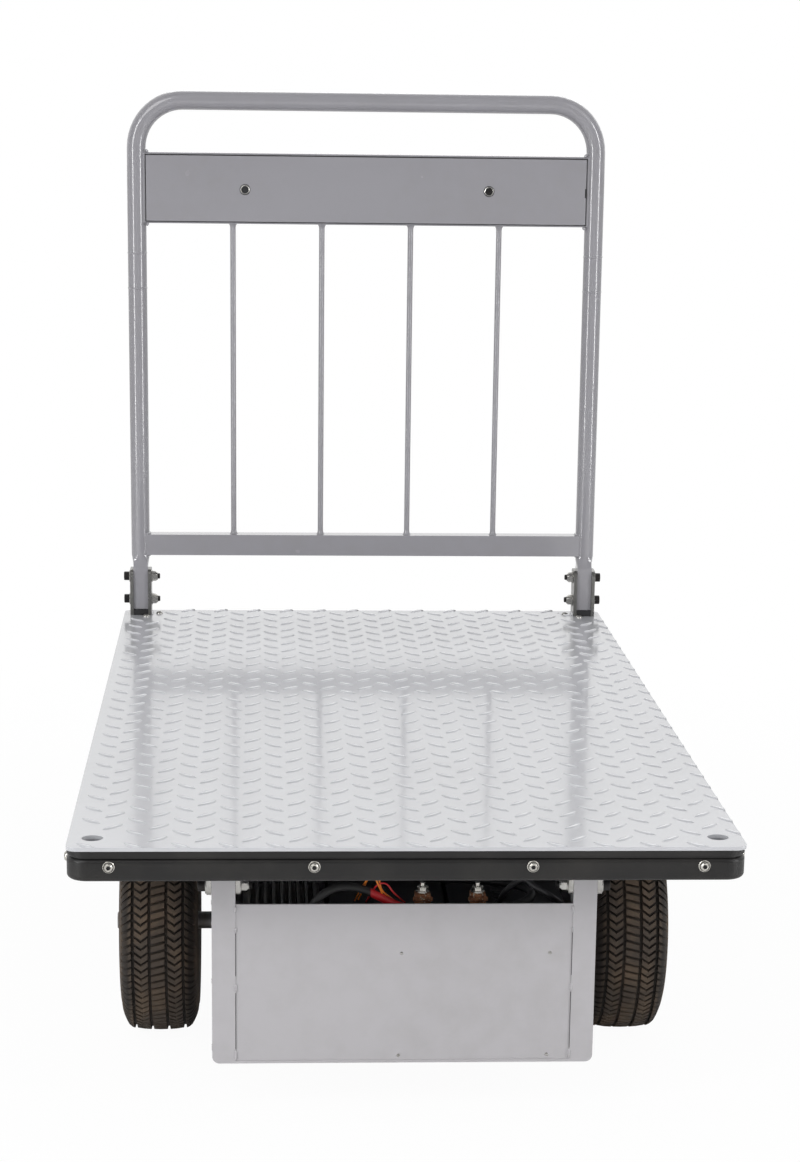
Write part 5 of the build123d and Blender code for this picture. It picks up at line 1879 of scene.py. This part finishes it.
    def tyre(self) -> Draft:
        """Return the tyre, one closed skin.

        Returns:
            The mesh.
        """
        draft = Draft()
        rows = []
        for across, radius, cut, slant in self.columns():
            x = self.side * (self.mid_x + across)
            row = []
            for pitch in range(self.cuts):
                for share, low in self.cut_steps:
                    angle = 2 * math.pi * (pitch + share + slant) / self.cuts
                    reach = radius - low * cut
                    y, z = self.axle_y + reach * math.cos(angle), self.axle_z + reach * math.sin(angle)
                    row.append(Vector((x, y, z)))
            rows.append(row)
        draft.grid(rows, loop=True)
        return draft


@dataclass
class Caster:
    """Swivel caster from the CAD, with its finishes and plate bolts."""

    side: int
    word: str
    x: float = 195.0
    y: float = 470.0
    plate_under: float = 234.0
    plate_bolts: Pair = (46.0, 50.0)
    bolt_washer_r: float = 8.0
    bolt_head: Pair = (6.9, 5.0)

    def build(self, finishes: Finishes) -> None:
        """Make the caster's pieces and coat its nodes.

        Args:
            finishes: The cart's finishes.
        """
        metal = (f"caster_mount_{self.word}", f"caster_fork_{self.word}", f"caster_axle_{self.word}")
        finishes.coat_nodes("zinc", *metal)
        finishes.coat_nodes("caster_wheel_body", f"caster_wheel_{self.word}")
        finishes.coat_nodes("caster_rubber", f"caster_tread_{self.word}")
        bolts = Draft()
        step_x, step_y = self.plate_bolts
        for x in (-step_x, step_x):
            for y in (-step_y, step_y):
                at = (self.side * self.x + x, self.y + y, self.plate_under)
                washer_and_head(bolts, at, DOWN, self.bolt_washer_r, self.bolt_head)
        bolts.piece(f"caster_bolts_{self.word}", finishes, "bolts", CHASSIS)


@dataclass
class Studio:
    """Pale floor, soft lamps and the camera of the photograph."""

    camera_at: Point = (-0.1553, -3.3508, 1.0780)
    yaw: float = 3.083
    pitch: float = 14.461
    roll: float = -0.737
    focal_px: float = 2701.3
    middle_px: Pair = (400.0, 785.0)
    image_px: tuple[int, int] = (800, 1162)
    sensor: float = 36.0
    floor_reach: float = 30.0
    floor_colour: Rgb = (0.86, 0.86, 0.86)
    floor_cover: float = 0.96
    shadow_reach: Pair = (0.9, 1.8)
    ambient: float = 0.60
    room_from: Pair = (-0.2, 0.6)
    room_to: Pair = (0.30, 1.0)
    lamp_aim: Point = (0.0, 0.0, 0.45)
    lamps: tuple[tuple[str, Point, Pair, float], ...] = (
        ("key", (-2.4, -3.4, 3.8), (2.6, 2.6), 60.0),
        ("fill", (2.8, -3.0, 3.4), (2.6, 2.6), 16.0),
        ("rim", (0.4, 3.6, 3.4), (3.0, 3.0), 40.0),
        ("left_strip", (-3.0, -2.4, 1.1), (0.42, 2.9), 52.0),
        ("right_strip", (3.2, -2.0, 1.1), (0.42, 2.9), 52.0),
    )

    def build(self) -> None:
        """Make the floor, world, lamps and camera."""
        self.floor()
        self.world()
        for name, at, size, power in self.lamps:
            self.lamp(name, Vector(at), size, power)
        self.camera()
        bpy.context.scene.view_settings.view_transform = "Standard"

    def floor(self) -> None:
        """Make the floor, which keeps only a soft shadow of the cart."""
        mesh = bpy.data.meshes.new("studio_floor")
        reach = self.floor_reach
        corners = [(-reach, -reach, 0), (reach, -reach, 0), (reach, reach, 0), (-reach, reach, 0)]
        mesh.from_pydata(corners, [], [(0, 1, 2, 3)])
        made = bpy.data.objects.new("studio_floor", mesh)
        bpy.context.scene.collection.objects.link(made)
        graph = Graph.named("studio_floor")
        seen = graph.node("ShaderNodeLightPath", out="Is Camera Ray")
        dull = graph.node("ShaderNodeBsdfDiffuse", {}, {"Color": self.floor_colour})
        white = graph.node("ShaderNodeEmission", {}, {"Color": WHITE, "Strength": 1.0})
        across, along = graph.axis("X"), graph.axis("Y")
        far = ((across * across + along * along) ** 0.5).between(*self.shadow_reach)
        share = seen * (self.floor_cover + (1 - self.floor_cover) * far)
        graph.close(graph.node("ShaderNodeMixShader", {}, {0: share, 1: dull, 2: white}))
        mesh.materials.append(graph.owner)

    def world(self) -> None:
        """Light the cart evenly, with white behind it for the camera and a dimmer room for reflections."""
        bpy.context.scene.world = bpy.data.worlds.new("studio")
        graph = Graph(bpy.context.scene.world)
        even = graph.node("ShaderNodeBackground", {}, {"Color": WHITE, "Strength": self.ambient})
        white = graph.node("ShaderNodeBackground", {}, {"Color": WHITE})
        direction = graph.node("ShaderNodeTexCoord", out="Generated")
        along = graph.node("ShaderNodeSeparateXYZ", {}, {0: direction}, out="Y")
        limits = zip(("From Min", "From Max", "To Min", "To Max"), (*self.room_from, *self.room_to))
        fade = graph.node("ShaderNodeMapRange", {}, {"Value": along, **dict(limits)})
        room = graph.node("ShaderNodeBackground", {}, {"Color": fade})
        rays = ("Is Glossy Ray", "Is Transmission Ray", "Is Camera Ray")
        glossy, passed, seen = (graph.node("ShaderNodeLightPath", out=ray) for ray in rays)
        either = graph.maths("MAXIMUM", glossy, passed)
        mirrored = graph.node("ShaderNodeMixShader", {}, {0: either, 1: even, 2: room})
        whole = graph.node("ShaderNodeMixShader", {}, {0: seen, 1: mirrored, 2: white})
        graph.close(whole, "ShaderNodeOutputWorld")

    def lamp(self, name: str, at: Vector, size: Pair, power: float) -> None:
        """Hang one soft lamp that points at the cart.

        Args:
            name: Its name.
            at: Its place.
            size: Its width and height.
            power: Its power in watts.
        """
        light = bpy.data.lights.new(name, "AREA")
        light.shape = "RECTANGLE"
        light.size, light.size_y = size
        light.energy = power
        made = bpy.data.objects.new(name, light)
        made.location = at
        made.rotation_euler = (Vector(self.lamp_aim) - at).to_track_quat("-Z", "Y").to_euler()
        bpy.context.scene.collection.objects.link(made)

    def camera(self) -> None:
        """Place the camera as fitted to the photograph."""
        yaw, pitch, roll = (math.radians(angle) for angle in (self.yaw, self.pitch, self.roll))
        ahead = Vector((math.sin(yaw) * math.cos(pitch), math.cos(yaw) * math.cos(pitch), -math.sin(pitch)))
        right = Vector((math.cos(yaw), -math.sin(yaw), 0))
        down = ahead.cross(right)
        tilted_right = math.cos(roll) * right + math.sin(roll) * down
        tilted_up = math.sin(roll) * right - math.cos(roll) * down
        lens = bpy.data.cameras.new("camera")
        long_side = max(self.image_px)
        lens.sensor_width = self.sensor
        lens.lens = self.focal_px / long_side * self.sensor
        lens.shift_x = (self.image_px[0] / 2 - self.middle_px[0]) / long_side
        lens.shift_y = (self.middle_px[1] - self.image_px[1] / 2) / long_side
        made = bpy.data.objects.new("camera", lens)
        columns = Matrix((tilted_right, tilted_up, -ahead)).transposed()
        made.matrix_world = Matrix.Translation(self.camera_at) @ columns.to_4x4()
        bpy.context.scene.collection.objects.link(made)
        bpy.context.scene.camera = made


def main() -> None:
    """Build the cart's pieces in order and set up the studio."""
    logging.basicConfig(level=logging.INFO, format="%(name)s: %(message)s")
    finishes = Finishes()
    assemblies = [
        Deck(), Bumper(), Handle(), Sockets(), Controls(), BatteryBox(), BatteryBay(), DriveAxle(),
        DriveWheel(-1, "left"), DriveWheel(1, "right"), Caster(-1, "left"), Caster(1, "right"),
    ]
    for assembly in assemblies:
        assembly.build(finishes)
        log.info("built %s", type(assembly).__name__)
    Studio().build()


if __name__ == "__main__":
    main()
